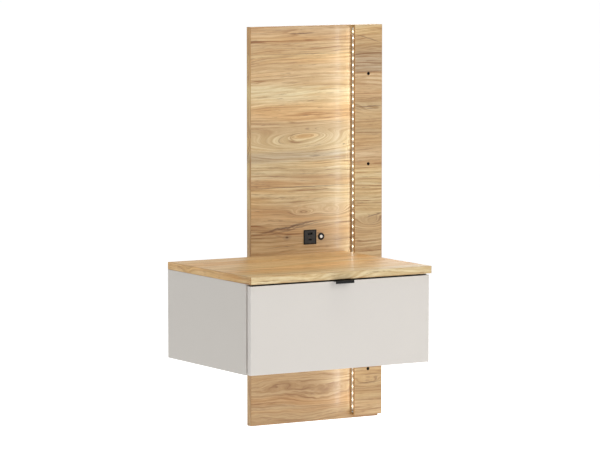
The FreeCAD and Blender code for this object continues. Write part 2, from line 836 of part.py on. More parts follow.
def dowelRows():
    """Each carcase dowel: a name, its outer end and the way that it runs from there."""
    rows = []
    seat = "Size.dowelSeat"
    for side, sign in SIDES.items():
        inner = "Place.innerLeft" if sign > 0 else "Place.innerRight"
        way = "+X" if sign > 0 else "-X"
        start = f"{inner} {'-' if sign > 0 else '+'} {seat}"
        for n, back in enumerate(DOWEL_BACKS):
            y = f"(Place.carcaseFront + {back})"
            rows.append((f"dowel_low_{side}_{n}", (start, y, "Place.carcaseLow + Size.bottomThick / 2"), way))
            middle = f"({inner} {'-' if sign > 0 else '+'} Size.sideThick / 2)"
            rows.append((f"dowel_top_{side}_{n}", (middle, y, f"Place.carcaseTop + {seat}"), "-Z"))
        backY = "Place.panelFace - Size.backThick / 2"
        rises = ("Place.carcaseLow + Size.backDowelInset", "Place.carcaseTop - Size.backDowelInset")
        for n, z in enumerate(rises):
            rows.append((f"dowel_back_{side}_{n}", (start, backY, z), way))
    return rows


def makeDowels():
    dowels = [rod(name, at, "Size.dowelDia", "Size.dowelLong", way) for name, at, way in dowelRows()]
    group("carcase_dowels", dowels)


def makeSide(side):
    sign = SIDES[side]
    x = "Place.cabinetLeft" if sign > 0 else "Place.innerRight"
    body = board(
        f"side_{side}",
        (x, "Place.carcaseFront", "Place.carcaseLow"),
        ("Size.sideThick", "Size.carcaseDepth", "Size.carcaseHeight"),
    )
    inside = "right" if sign > 0 else "left"
    low = [(back, "Size.bottomThick / 2", "Size.dowelDia") for back in DOWEL_BACKS]
    rear = [
        ("Size.carcaseDepth - Size.backThick / 2", up, "Size.dowelDia")
        for up in ("Size.backDowelInset", "Size.carcaseHeight - Size.backDowelInset")
    ]
    machine(body, "dowel_bores", inside, low + rear, "Size.dowelSeat")
    tops = [("Size.sideThick / 2", back, "Size.dowelDia") for back in DOWEL_BACKS]
    machine(body, "top_dowel_bores", "top", tops, "Size.dowelLong - Size.dowelSeat")
    boltSeats = [(back, "Size.bottomThick / 2", "Size.camBoltDia") for back in CAM_BACKS]
    machine(body, "cam_bolt_seats", inside, boltSeats, "Size.camBoltSeat")
    cams = [(back, "Size.carcaseHeight - Size.camReach", "Size.camDia") for back in CAM_BACKS]
    machine(body, "cam_bores", inside, cams, "Size.camThick")
    bolts = [("Size.sideThick / 2", back, "Size.camBoltHoleDia") for back in CAM_BACKS]
    machine(body, "cam_bolt_bores", "top", bolts, "Size.camReach")
    screws = [
        (f"Size.runnerBack + {end}", "Place.runnerZ - Place.carcaseLow", "Size.runnerScrewDia")
        for end in ("Size.runnerScrewEnd", "(Size.runnerLong - Size.runnerScrewEnd)")
    ]
    machine(body, "runner_pilots", inside, screws, "Size.runnerScrewLong - Size.runnerSheet")


def makeBottomPanel():
    body = board(
        "bottom_panel",
        ("Place.innerLeft", "Place.carcaseFront", "Place.carcaseLow"),
        ("Place.innerWidth", "Place.bottomDepth", "Size.bottomThick"),
    )
    for face in ("left", "right"):
        dowels = [(back, "Size.bottomThick / 2", "Size.dowelDia") for back in DOWEL_BACKS]
        machine(body, f"dowel_bores_{face}", face, dowels, "Size.dowelLong - Size.dowelSeat")
        bolts = [(back, "Size.bottomThick / 2", "Size.camBoltHoleDia") for back in CAM_BACKS]
        machine(body, f"cam_bolt_bores_{face}", face, bolts, "Size.camReach")
        across = "Size.camReach" if face == "left" else "Place.innerWidth - Size.camReach"
        cams = [(across, back, "Size.camDia") for back in CAM_BACKS]
        machine(body, f"cam_bores_{face}", "bottom", cams, "Size.camThick")


def makeCabinetBack():
    body = board(
        "cabinet_back",
        ("Place.innerLeft", "Place.backFace", "Place.carcaseLow"),
        ("Place.innerWidth", "Size.backThick", "Size.carcaseHeight"),
    )
    for face in ("left", "right"):
        dowels = [
            ("Size.backThick / 2", up, "Size.dowelDia")
            for up in ("Size.backDowelInset", "Size.carcaseHeight - Size.backDowelInset")
        ]
        machine(body, f"dowel_bores_{face}", face, dowels, "Size.dowelLong - Size.dowelSeat")
    bolts = [
        (f"{across} - Place.innerLeft", f"{up} - Place.carcaseLow", "Size.hangBoltDia")
        for across, up in hangPlaces()
    ]
    machine(body, "bolt_holes", "front", bolts)


def makeTopBoard():
    body = board(
        "top_board",
        ("Place.cabinetLeft", "Place.panelFace - Size.topDepth", "Place.carcaseTop"),
        ("Size.cabinetWidth", "Size.topDepth", "Size.topThick"),
    )
    overhang = "(Size.topDepth - Size.carcaseDepth)"
    acrossEach = ("Size.sideThick / 2", "(Size.cabinetWidth - Size.sideThick / 2)")
    dowels = [
        (across, f"{overhang} + {back}", "Size.dowelDia")
        for across in acrossEach
        for back in DOWEL_BACKS
    ]
    machine(body, "dowel_bores", "bottom", dowels, "Size.dowelSeat")
    bolts = [
        (across, f"{overhang} + {back}", "Size.camBoltDia")
        for across in acrossEach
        for back in CAM_BACKS
    ]
    machine(body, "cam_bolt_seats", "bottom", bolts, "Size.camBoltSeat")


def makeFrontRail():
    board(
        "front_rail",
        ("Place.innerLeft", "Place.carcaseFront", "Place.carcaseTop - Size.railThick"),
        ("Place.innerWidth", "Size.railDepth", "Size.railThick"),
    )


def makeCams():
    """Round cams in the bottom panel and the sides, each with the bolt that it draws in."""
    cams = []
    bolts = []
    boltLong = "Size.camBoltSeat + Size.camReach - Size.camDia / 2"
    for side, sign in SIDES.items():
        inner = "Place.innerLeft" if sign > 0 else "Place.innerRight"
        inward = "+X" if sign > 0 else "-X"
        outward = "-X" if sign > 0 else "+X"
        for n, back in enumerate(CAM_BACKS):
            y = f"(Place.carcaseFront + {back})"
            boltZ = "Place.carcaseLow + Size.bottomThick / 2"
            camX = along((inner, y, "Place.carcaseLow"), inward, "Size.camReach")
            cams.append(cam(f"cam_low_{side}_{n}", camX, "+Z"))
            start = along((inner, y, boltZ), outward, "Size.camBoltSeat")
            bolts.append(rod(f"cam_bolt_low_{side}_{n}", start, "Size.camBoltDia", boltLong, inward))
            camZ = "Place.carcaseTop - Size.camReach"
            cams.append(cam(f"cam_top_{side}_{n}", (inner, y, camZ), outward))
            middle = along((inner, y, "Place.carcaseTop + Size.camBoltSeat"), outward, "Size.sideThick / 2")
            bolts.append(rod(f"cam_bolt_top_{side}_{n}", middle, "Size.camBoltDia", boltLong, "-Z"))
    group("carcase_cams", cams)
    group("cam_bolts", bolts)


def cam(name, seat, way):
    """A cam with a driver slot across its open face."""
    disc = rod(name + "_disc", seat, "Size.camDia", "Size.camThick", way)
    half = "Size.camDia / 4"
    side = "Size.camSlotWide / 2"
    if way[1] == "Z":
        low = (f"{seat[0]} - {half}", f"{seat[1]} - {side}", f"{seat[2]} - 1")
        lengths = (f"2 * {half}", "Size.camSlotWide", "Size.camSlotDeep + 1")
    else:
        start = f"{seat[0]} - Size.camSlotDeep" if way[0] == "-" else f"{seat[0]} - 1"
        low = (start, f"{seat[1]} - {half}", f"{seat[2]} - {side}")
        lengths = ("Size.camSlotDeep + 1", f"2 * {half}", "Size.camSlotWide")
    return cut(name, disc, [block(name + "_slot", low, lengths)])


def makeHangBolts():
    bolts = []
    nuts = []
    for n, (across, up) in enumerate(hangPlaces()):
        seat = (across, "Place.backFace", up)
        head = rod(f"hang_head_{n}", seat, "Size.hangHeadDia", "Size.hangHeadThick", "-Y")
        shank = rod(f"hang_shank_{n}", seat, "Size.hangBoltDia", "Size.hangBoltLong", "+Y")
        mouth = along(seat, "-Y", "Size.hangHeadThick + 1")
        socket = rod(f"hang_socket_{n}", mouth, "Size.hangSocketDia", "Size.hangSocketDeep + 1", "+Y")
        bolts.append(cut(f"hang_bolt_{n}", fuse(f"hang_stock_{n}", [head, shank]), [socket]))
        start = (across, "Place.panelFace", up)
        sleeve = rod(f"insert_sleeve_{n}", start, "Size.insertDia", "Size.insertLong", "+Y")
        bore = rod(f"insert_bore_{n}", start, "Size.hangBoltDia", "Size.insertLong + 1", "+Y")
        nuts.append(cut(f"insert_nut_{n}", sleeve, [bore]))
    group("cabinet_bolts", bolts)
    group("insert_nuts", nuts)


def makeBumpers():
    bumpers = []
    for side, sign in SIDES.items():
        inner = "Place.innerLeft" if sign > 0 else "Place.innerRight"
        middle = f"({inner} {'-' if sign > 0 else '+'} Size.sideThick / 2)"
        pad = "Size.frontGap - Size.bumperGap"
        for n, z in enumerate(("Place.carcaseLow + Size.bumperInset", "Place.carcaseTop - Size.bumperInset")):
            seat = (middle, "Place.carcaseFront", z)
            bumpers.append(taper(f"bumper_{side}_{n}", seat, "Size.bumperDia", "Size.bumperTip", pad, "-Y"))
    group("bumpers", bumpers)


# ---- drawer

def makeDrawerFront():
    body = board(
        "drawer_front",
        ("Place.frontLeft", "Place.frontFace", "Place.frontLow"),
        ("Place.frontWidth", "Size.frontThick", "Place.frontTall"),
    )
    middle = "(Place.cabinetMiddle - Place.frontLeft)"
    pullWide = "(Size.pullWidth + 2 * Size.pullGap)"
    rebate = (
        f"{middle} - {pullWide} / 2",
        "Place.frontTall - Size.pullBack - Size.pullGap",
        pullWide,
        "Size.pullBack + Size.pullGap + 1",
    )
    machine(body, "pull_rebate", "back", [rebate], "Size.pullThick")
    pilotUp = "Place.frontTall - Size.pullBack / 2"
    pilots = [
        (f"{middle} {sign} Size.pullScrewPitch / 2", pilotUp, "Size.pullScrewDia")
        for sign in "-+"
    ]
    machine(body, "pull_pilots", "back", pilots, "Size.pullScrewLong")
    pegs = [
        (f"Place.{edge} - Place.frontLeft {sign} Size.drawerThick / 2", up, "Size.pegDia")
        for edge, sign in (("drawerLeft", "+"), ("drawerRight", "-"))
        for up in pegHeights("Place.frontLow")
    ]
    machine(body, "peg_bores", "back", pegs, "Size.pegSeat")
    seat = "(Size.sheetSeat + Size.sheetGap)"
    groove = (
        f"Place.drawerLeft + Size.drawerThick - {seat} - Place.frontLeft",
        "Place.sheetLow - Place.frontLow",
        f"Place.drawerInner + 2 * {seat}",
        "Size.drawerSheet + Size.sheetGap",
    )
    machine(body, "sheet_groove", "back", [groove], seat)


def pegHeights(base):
    low = f"(Place.drawerLow + Size.pegInset - {base})"
    return (low, f"(Place.drawerTop - Size.pegInset - {base})")


def makeDrawerSide(side):
    sign = SIDES[side]
    x = "Place.drawerLeft" if sign > 0 else "Place.drawerRight - Size.drawerThick"
    body = board(
        f"drawer_side_{side}",
        (x, "Place.frontRear", "Place.drawerLow"),
        ("Size.drawerThick", "Size.drawerLong", "Size.drawerHeight"),
    )
    inside = "right" if sign > 0 else "left"
    outside = "left" if sign > 0 else "right"
    groove = ("0", "Size.sheetRise", "Size.drawerLong", "Size.drawerSheet + Size.sheetGap")
    machine(body, "sheet_groove", inside, [groove], "Size.sheetSeat + Size.sheetGap")
    pegs = [("Size.drawerThick / 2", up, "Size.pegDia") for up in pegHeights("Place.drawerLow")]
    machine(body, "peg_bores", "front", pegs, "Size.pegLong - Size.pegSeat")
    rearY = "Size.drawerLong - Size.drawerThick / 2"
    rearPegs = [(rearY, up, "Size.pegDia") for up in pegHeights("Place.drawerLow")]
    machine(body, "rear_peg_bores", inside, rearPegs, "Size.pegSeat")
    screws = [
        (f"Place.runnerFront - Place.frontRear + {end}", "Size.runnerUp", "Size.runnerScrewDia")
        for end in ("Size.runnerScrewEnd", "(Size.runnerLong - Size.runnerScrewEnd)")
    ]
    machine(body, "runner_pilots", outside, screws, "Size.runnerScrewLong - Size.runnerSheet")


def makeDrawerBack():
    body = board(
        "drawer_back",
        ("Place.drawerLeft + Size.drawerThick", "Place.drawerRear - Size.drawerThick", "Place.drawerLow"),
        ("Place.drawerInner", "Size.drawerThick", "Size.drawerHeight"),
    )
    for face in ("left", "right"):
        pegs = [("Size.drawerThick / 2", up, "Size.pegDia") for up in pegHeights("Place.drawerLow")]
        machine(body, f"peg_bores_{face}", face, pegs, "Size.pegLong - Size.pegSeat")
    groove = ("0", "Size.sheetRise", "Place.drawerInner", "Size.drawerSheet + Size.sheetGap")
    machine(body, "sheet_groove", "front", [groove], "Size.sheetSeat + Size.sheetGap")


def makeDrawerBottom():
    board(
        "drawer_bottom",
        (
            "Place.drawerLeft + Size.drawerThick - Size.sheetSeat",
            "Place.frontRear - Size.sheetSeat",
            "Place.sheetLow + Size.sheetGap / 2",
        ),
        (
            "Place.drawerInner + 2 * Size.sheetSeat",
            "Size.drawerLong - Size.drawerThick + 2 * Size.sheetSeat",
            "Size.drawerSheet",
        ),
        None,
    )


def makeDrawerPegs():
    pegs = []
    for side, sign in SIDES.items():
        edge, inward, outward = ("drawerLeft", "+", "-") if sign > 0 else ("drawerRight", "-", "+")
        middle = f"Place.{edge} {inward} Size.drawerThick / 2"
        innerFace = f"Place.{edge} {inward} Size.drawerThick"
        for n, z in enumerate(pegHeights("0")):
            foot = (middle, "Place.frontRear - Size.pegSeat", z)
            pegs.append(rod(f"peg_front_{side}_{n}", foot, "Size.pegDia", "Size.pegLong", "+Y"))
            rear = (f"{innerFace} {outward} Size.pegSeat", "Place.drawerRear - Size.drawerThick / 2", z)
            pegs.append(rod(f"peg_rear_{side}_{n}", rear, "Size.pegDia", "Size.pegLong", inward + "X"))
    group("drawer_dowels", pegs)


def edgesAlongX(shape, corners):
    """The names of the edges along X whose height and depth are those of the corners given."""
    names = []
    for n, edge in enumerate(shape.Edges, start=1):
        start, end = edge.Vertexes[0].Point, edge.Vertexes[-1].Point
        level = abs(start.y - end.y) < 0.01 and abs(start.z - end.z) < 0.01
        if level and any(abs(start.y - y) < 0.01 and abs(start.z - z) < 0.01 for y, z in corners):
            names.append(f"Edge{n}")
    return names


def makeHandle():
    """A bent strip of metal: down behind the front, over its top edge, forward, and down in a lip."""
    body = doc.addObject("PartDesign::Body", "handle")
    at = ("Place.cabinetMiddle - Size.pullWidth / 2", "Place.frontRear", "Place.frontTop")
    bind(body, {}, at)
    reach = "(Size.frontThick + Size.pullReach)"
    profile = [
        ("0", "Size.pullThick"),
        (f"-{reach}", "Size.pullThick"),
        (f"-{reach}", "Size.pullThick - Size.pullLip"),
        (f"-{reach} + Size.pullThick", "Size.pullThick - Size.pullLip"),
        (f"-{reach} + Size.pullThick", "0"),
        ("-Size.pullThick", "0"),
        ("-Size.pullThick", "-Size.pullBack"),
        ("0", "-Size.pullBack"),
    ]
    sketch = newSketch(body, "handle_profile", "YZ_Plane")
    guess = [(0, 1), (-9, 1), (-9, -3), (-8, -3), (-8, 0), (-1, 0), (-1, -7), (0, -7)]
    for (y, z), (nextY, nextZ) in zip(guess, guess[1:] + guess[:1]):
        sketch.addGeometry(Part.LineSegment(Vector(y, z, 0), Vector(nextY, nextZ, 0)), False)
    for corner, (y, z) in enumerate(profile):
        sketch.addConstraint(Sketcher.Constraint("Coincident", corner, 2, (corner + 1) % len(profile), 1))
        hold(sketch, "DistanceX", f"depth{corner}", y, corner, 1)
        hold(sketch, "DistanceY", f"rise{corner}", z, corner, 1)
    pad = body.newObject("PartDesign::Pad", "handle_pad")
    pad.Profile = sketch
    pad.setExpression("Length", "Size.pullWidth")
    doc.recompute()
    thick = size("pullThick")
    length = size("frontThick") + size("pullReach")
    outer = [(0, thick), (-length, thick)]
    bends = body.newObject("PartDesign::Fillet", "handle_bends")
    bends.Base = (pad, edgesAlongX(pad.Shape, outer))
    bends.setExpression("Radius", "Size.pullBend")
    doc.recompute()
    holes = newSketch(body, "handle_holes_outline", "XZ_Plane")
    addShapes(holes, [
        (f"Size.pullWidth / 2 {sign} Size.pullScrewPitch / 2", "-Size.pullBack / 2", "Size.pullScrewDia")
        for sign in "-+"
    ])
    pocket = body.newObject("PartDesign::Pocket", "handle_holes")
    pocket.Profile = holes
    pocket.Midplane = True
    pocket.Length = 4 * thick
    before = bends.Shape.Volume
    doc.recompute()
    if not body.Shape.Volume < before - 0.01:
        raise RuntimeError("the handle's holes cut nothing")


def makeHandleScrews():
    screws = []
    for n, sign in enumerate("-+"):
        seat = (
            f"Place.cabinetMiddle {sign} Size.pullScrewPitch / 2",
            "Place.frontRear",
            "Place.frontTop - Size.pullBack / 2",
        )
        head = taper(f"pull_head_{n}", seat, "Size.pullScrewHead", "Size.pullScrewTip",
                     "Size.pullScrewProud", "+Y")
        shank = rod(f"pull_shank_{n}", seat, "Size.pullScrewDia", "Size.pullScrewLong", "-Y")
        screws.append(fuse(f"pull_screw_{n}", [head, shank]))
    group("handle_screws", screws)


# ---- telescopic runners, drawn once for each side: sign is +1 on the left and -1 on the right

def bar(name, sign, near, far, low, high, front="Place.runnerFront", length="Size.runnerLong"):
    """A straight bar along Y. near and far count inwards from the side, low and high from the middle."""
    start = f"Place.innerLeft + ({near})" if sign > 0 else f"Place.innerRight - ({far})"
    corner = (start, front, f"Place.runnerZ + ({low})")
    return block(name, corner, (f"({far}) - ({near})", length, f"({high}) - ({low})"))


def channel(name, sign, near, far, halfHeight, sheet, open_, front="Place.runnerFront",
            length="Size.runnerLong"):
    """A C-shaped strip: a web on its near side if it opens inwards, else on its far side, and two flanges."""
    webNear, webFar = (near, f"{near} + {sheet}") if open_ == "inwards" else (f"{far} - {sheet}", far)
    web = bar(name + "_web", sign, webNear, webFar, f"-({halfHeight})", halfHeight, front, length)
    flangeNear, flangeFar = (webFar, far) if open_ == "inwards" else (near, webNear)
    high = bar(name + "_high", sign, flangeNear, flangeFar, f"{halfHeight} - {sheet}", halfHeight,
               front, length)
    low = bar(name + "_low", sign, flangeNear, flangeFar, f"-({halfHeight})", f"-({halfHeight}) + {sheet}",
              front, length)
    return [web, high, low]


def ballLevels():
    """Half heights from the runner's middle out: where each member's flange is, and each row of balls."""
    row = "(Size.ballDia + 2 * Size.ballGap)"
    outer = "(Size.runnerHeight / 2)"
    outerBall = f"({outer} - Size.runnerSheet - {row} / 2)"
    middle = f"({outer} - Size.runnerSheet - {row})"
    innerBall = f"({middle} - Size.runnerSheet - {row} / 2)"
    drawer = f"({middle} - Size.runnerSheet - {row})"
    return {
        "cabinet": outer,
        "outerBall": outerBall,
        "middle": middle,
        "innerBall": innerBall,
        "drawer": drawer,
    }


def screwSeat(name, seat, way):
    """The countersink in a runner's web that takes a screw's head flush."""
    return taper(name, seat, "Size.runnerScrewHead", "Size.runnerScrewDia", "Size.runnerSheet", way)


def runnerScrewYs():
    ends = ("Size.runnerScrewEnd", "(Size.runnerLong - Size.runnerScrewEnd)")
    return [f"(Place.runnerFront + {end})" for end in ends]


def makeRunner(side):
    sign = SIDES[side]
    level = ballLevels()
    sheet = "Size.runnerSheet"
    inner = "Place.innerLeft" if sign > 0 else "Place.innerRight"
    inward = "+X" if sign > 0 else "-X"
    outward = "-X" if sign > 0 else "+X"
    step = "Size.memberStep"
    cabinet = fuse(f"cabinet_member_{side}", channel(
        f"cm_{side}", sign, "0", "Size.flangeDepth", level["cabinet"], sheet, "inwards"))
    cut(f"runner_cabinet_{side}", cabinet, [
        screwSeat(f"cm_hole_{side}_{n}", along((inner, y, "Place.runnerZ"), inward, sheet), outward)
        for n, y in enumerate(runnerScrewYs())
    ])
    access = [
        rod(f"mm_hole_{side}_{n}", along((inner, y, "Place.runnerZ"), inward, step), "Size.runnerAccessDia",
            f"2 * {sheet}", inward)
        for n, y in enumerate(runnerScrewYs())
    ]
    middle = fuse(f"middle_member_{side}", channel(
        f"mm_{side}", sign, step, "Size.flangeDepth + Size.middleExtra", level["middle"], sheet, "inwards"))
    cut(f"runner_middle_{side}", middle, access)
    drawerNear = f"2 * {step} + Size.memberGap"
    drawer = fuse(f"drawer_member_{side}", channel(
        f"dm_{side}", sign, drawerNear, "Size.runnerWidth", level["drawer"], sheet, "outwards"))
    webFace = f"Size.runnerWidth - {sheet}"
    cut(f"runner_drawer_{side}", drawer, [
        screwSeat(f"dm_hole_{side}_{n}", along((inner, y, "Place.runnerZ"), inward, webFace), inward)
        for n, y in enumerate(runnerScrewYs())
    ])
    for name, (row, near, far) in cageRows().items():
        makeCage(side, sign, name, row, near, far)


def cageRows():
    """Each cage: the half height of its rows of balls, and how far in from the side it starts and ends."""
    level = ballLevels()
    near = "Size.runnerSheet + Size.memberGap"
    return {
        "outer": (level["outerBall"], near, "Size.flangeDepth - Size.cageShort"),
        "inner": (level["innerBall"], f"Size.memberStep + {near}", "Size.runnerWidth - Size.memberStep"),
    }


def ballPlaces(sign, row, near, far):
    x = f"({near} + {far} + Size.cageThick) / 2"
    x = f"(Place.innerLeft + {x})" if sign > 0 else f"(Place.innerRight - {x})"
    for n in range(BALLS_A_ROW):
        y = f"(Place.cageStart + Size.ballEnd + {n} * Size.ballPitch)"
        for up, sense in (("high", "+"), ("low", "-")):
            yield f"{n}_{up}", (x, y, f"(Place.runnerZ {sense} {row})")


def makeCage(side, sign, name, row, near, far):
    """A ball cage: a C-shaped strip whose flanges hold the balls of two rows."""
    half = f"{row} + Size.cageThick / 2"
    strip = fuse(f"{name}_cage_strip_{side}", channel(
        f"{name}_cage_{side}", sign, near, far, half, "Size.cageThick", "inwards", "Place.cageStart",
        "Size.cageLong"))
    holes = []
    holeDia = "Size.ballDia + 2 * Size.ballHoleGap"
    for tag, (x, y, z) in ballPlaces(sign, row, near, far):
        foot = (x, y, f"{z} - Size.cageThick")
        holes.append(rod(f"{name}_cage_hole_{side}_{tag}", foot, holeDia, "2 * Size.cageThick"))
    cut(f"{name}_cage_{side}", strip, holes)


def makeBalls():
    for name, (row, near, far) in cageRows().items():
        balls = []
        for side, sign in SIDES.items():
            for tag, at in ballPlaces(sign, row, near, far):
                ball = doc.addObject("Part::Sphere", f"{name}_ball_{side}_{tag}")
                balls.append(bind(ball, {"Radius": "Size.ballDia / 2"}, at))
        group(f"{name}_balls", balls)


def makeRunnerScrews():
    cabinetScrews = []
    drawerScrews = []
    sizes = ("Size.runnerScrewDia", "Size.runnerScrewHead", "Size.runnerSheet", "Size.runnerScrewLong")
    for side, sign in SIDES.items():
        inner = "Place.innerLeft" if sign > 0 else "Place.innerRight"
        inward = "+X" if sign > 0 else "-X"
        outward = "-X" if sign > 0 else "+X"
        for n, y in enumerate(runnerScrewYs()):
            web = along((inner, y, "Place.runnerZ"), inward, "Size.runnerSheet")
            cabinetScrews.append(screw(f"cabinet_screw_{side}_{n}", web, outward, *sizes))
            far = along((inner, y, "Place.runnerZ"), inward, "Size.runnerWidth - Size.runnerSheet")
            drawerScrews.append(screw(f"drawer_screw_{side}_{n}", far, inward, *sizes))
    group("cabinet_runner_screws", cabinetScrews)
    group("drawer_runner_screws", drawerScrews)


makeMainPanel()
makeStripBoard()
makeStripScrews()
makeLight()
makeSocket()
makeSwitch()
makeLeads()
makeInlet()
makeLeadClips()
makeDowels()
makeBottomPanel()
makeCabinetBack()
makeTopBoard()
makeFrontRail()
makeCams()
makeHangBolts()
makeBumpers()
makeDrawerFront()
makeDrawerBack()
makeDrawerBottom()
makeDrawerPegs()
makeHandle()
makeHandleScrews()
makeRunnerScrews()
makeBalls()
for sideName in SIDES:
    makeSide(sideName)
    makeDrawerSide(sideName)
    makeRunner(sideName)
doc.recompute()

NODES = [
    "main_panel", "strip_board", "strip_screws", "led_profile", "led_tape", "led_chips",
    "usb_bezel", "usb_body", "usb_tongues",
    "switch_ring", "switch_body", "switch_nut", "switch_button", "switch_spring",
    "power_inlet", "power_lead", "link_lead", "led_lead", "lead_clips",
    "top_board", "side_left", "side_right", "bottom_panel", "cabinet_back", "front_rail",
    "carcase_dowels", "carcase_cams", "cam_bolts", "cabinet_bolts", "insert_nuts", "bumpers",
    "drawer_front", "drawer_side_left", "drawer_side_right", "drawer_back", "drawer_bottom", "drawer_dowels",
    "handle", "handle_screws",
    "runner_cabinet_left", "runner_cabinet_right", "runner_middle_left", "runner_middle_right",
    "runner_drawer_left", "runner_drawer_right", "outer_cage_left", "outer_cage_right",
    "inner_cage_left", "inner_cage_right", "outer_balls", "inner_balls",
    "cabinet_runner_screws", "drawer_runner_screws",
]

for item in doc.Objects:
    if any(word in item.State for word in ("Invalid", "Error")):
        raise RuntimeError(f"{item.Name} failed: {item.State}")

os.makedirs("parts", exist_ok=True)
for node in NODES:
    item = doc.getObject(node)
    item.Label = node
    shape = item.Shape
    if shape.isNull() or not shape.isValid() or not shape.Solids:
        raise RuntimeError(f"{node} has no valid solid")
    shape.exportStep(f"parts/{node}.step")
print(len(NODES), "nodes written")
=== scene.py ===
import json
import math

import bmesh
import bpy
from mathutils import Matrix, Vector


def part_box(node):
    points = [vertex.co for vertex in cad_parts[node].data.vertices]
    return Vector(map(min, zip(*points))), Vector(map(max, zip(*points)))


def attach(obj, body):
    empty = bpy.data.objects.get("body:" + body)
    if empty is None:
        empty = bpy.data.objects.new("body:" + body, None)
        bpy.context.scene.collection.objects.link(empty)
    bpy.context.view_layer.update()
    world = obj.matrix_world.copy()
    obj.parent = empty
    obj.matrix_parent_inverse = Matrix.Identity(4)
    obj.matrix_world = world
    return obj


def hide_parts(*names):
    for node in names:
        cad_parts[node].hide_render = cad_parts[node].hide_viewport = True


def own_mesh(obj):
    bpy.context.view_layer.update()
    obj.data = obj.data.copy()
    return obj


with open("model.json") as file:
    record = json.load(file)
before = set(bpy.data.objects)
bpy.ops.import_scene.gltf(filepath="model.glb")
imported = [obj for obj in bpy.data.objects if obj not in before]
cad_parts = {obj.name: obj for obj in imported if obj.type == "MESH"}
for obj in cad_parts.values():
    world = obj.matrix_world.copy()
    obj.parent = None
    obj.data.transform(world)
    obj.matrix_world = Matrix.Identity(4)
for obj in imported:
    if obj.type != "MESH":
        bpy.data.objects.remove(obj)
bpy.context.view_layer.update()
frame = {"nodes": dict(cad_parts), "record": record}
nodes = frame["nodes"]
scene = bpy.context.scene
print("frame loaded:", len(nodes), "CAD nodes")


view = {
    "place": (-4.8618, -8.1077, 0.9101),
    "turn": 30.782,  # degrees to the right of straight ahead
    "tilt": 5.535,  # degrees downwards
    "lens": 230.54,
    "sensor": 36,
    "farthest": 400,  # metres, past the far side of the floor
}
camera = bpy.data.objects.new("camera", bpy.data.cameras.new("camera"))
scene.collection.objects.link(camera)
camera.data.lens = view["lens"]
camera.data.sensor_width = view["sensor"]
camera.data.clip_end = view["farthest"]
camera.location = view["place"]
camera.rotation_euler = (math.radians(90 - view["tilt"]), 0, -math.radians(view["turn"]))
scene.camera = camera


studio = {
    # metres and watts
    "floorHeight": -0.74,
    "floorHalf": 150,
    "floorColour": (0.92, 0.92, 0.915, 1),
    "floorShade": (0.90, 0.90, 0.895, 1),
    "floorRoughness": 0.8,
    "floorGlow": 0.71,
    "worldStrength": 0.34,
    "lights": [
        # name, place, aims at, width, height, watts, colour
        ("keyLight", (0.9, -4.2, 1.9), (0, 0, 0), 2.6, 2.2, 42, (1, 0.99, 0.975)),
        ("topLight", (0.0, -0.3, 3.6), (0, -0.2, 0), 2.4, 2.4, 66, (1, 1, 1)),
        ("backLight", (2.6, 2.6, 1.8), (0, 0, 0), 2.0, 2.0, 40, (1, 1, 1)),
    ],
}


def linear(red, green, blue):
    # screen values from 0 to 255, made linear
    parts = [value / 255 for value in (red, green, blue)]
    return tuple(v / 12.92 if v <= 0.04045 else ((v + 0.055) / 1.055) ** 2.4 for v in parts) + (1,)


def aimed(thing, place, target):
    thing.location = place
    thing.rotation_euler = (Vector(target) - Vector(place)).to_track_quat("-Z", "Y").to_euler()


def areaLight(name, place, target, width, height, watts, colour):
    lamp = bpy.data.lights.new(name, "AREA")
    lamp.shape = "RECTANGLE"
    lamp.size = width
    lamp.size_y = height
    lamp.energy = watts
    lamp.color = colour
    made = bpy.data.objects.new(name, lamp)
    scene.collection.objects.link(made)
    aimed(made, place, target)
    return made


for row in studio["lights"]:
    areaLight(*row)

world = bpy.data.worlds.new("studioWorld")
scene.world = world
world.use_nodes = True
backdrop = world.node_tree.nodes["Background"]
backdrop.inputs["Color"].default_value = (1, 1, 1, 1)
# as bright as white where the camera looks, and dimmer as light
seen = world.node_tree.nodes.new("ShaderNodeLightPath").outputs["Is Camera Ray"]
brighter = world.node_tree.nodes.new("ShaderNodeMapRange")
brighter.inputs["To Min"].default_value = studio["worldStrength"]
world.node_tree.links.new(seen, brighter.inputs["Value"])
world.node_tree.links.new(brighter.outputs["Result"], backdrop.inputs["Strength"])
scene.view_settings.view_transform = "Standard"
print("camera and light ready")


def node(tree, kind, inputs=None, **settings):
    made = tree.nodes.new(kind)
    for key, value in settings.items():
        setattr(made, key, value)
    for key, value in (inputs or {}).items():
        feed(tree, value, made.inputs[key])
    return made


def feed(tree, value, socket):
    if isinstance(value, bpy.types.NodeSocket):
        tree.links.new(value, socket)
    else:
        socket.default_value = value


def maths(tree, operation, first, second=None, third=None, clamp=False):
    made = tree.nodes.new("ShaderNodeMath")
    made.operation = operation
    made.use_clamp = clamp
    for value, socket in zip((first, second, third), made.inputs):
        if value is not None:
            feed(tree, value, socket)
    return made.outputs[0]


def vectors(tree, operation, first, second=None):
    made = tree.nodes.new("ShaderNodeVectorMath")
    made.operation = operation
    feed(tree, first, made.inputs[0])
    if second is not None:
        feed(tree, second, made.inputs[1])
    return made.outputs["Value"] if operation in ("DISTANCE", "DOT_PRODUCT") else made.outputs[0]


def apart(tree, vector):
    return node(tree, "ShaderNodeSeparateXYZ", {"Vector": vector}).outputs


def together(tree, x, y, z):
    return node(tree, "ShaderNodeCombineXYZ", {"X": x, "Y": y, "Z": z}).outputs[0]


def noise(tree, vector, scale, detail=2.0, roughness=0.5):
    # stretched by its own scale along each axis
    stretched = vectors(tree, "MULTIPLY", vector, scale)
    inputs = {"Vector": stretched, "Scale": 1.0, "Detail": detail, "Roughness": roughness}
    return node(tree, "ShaderNodeTexNoise", inputs).outputs["Fac"]


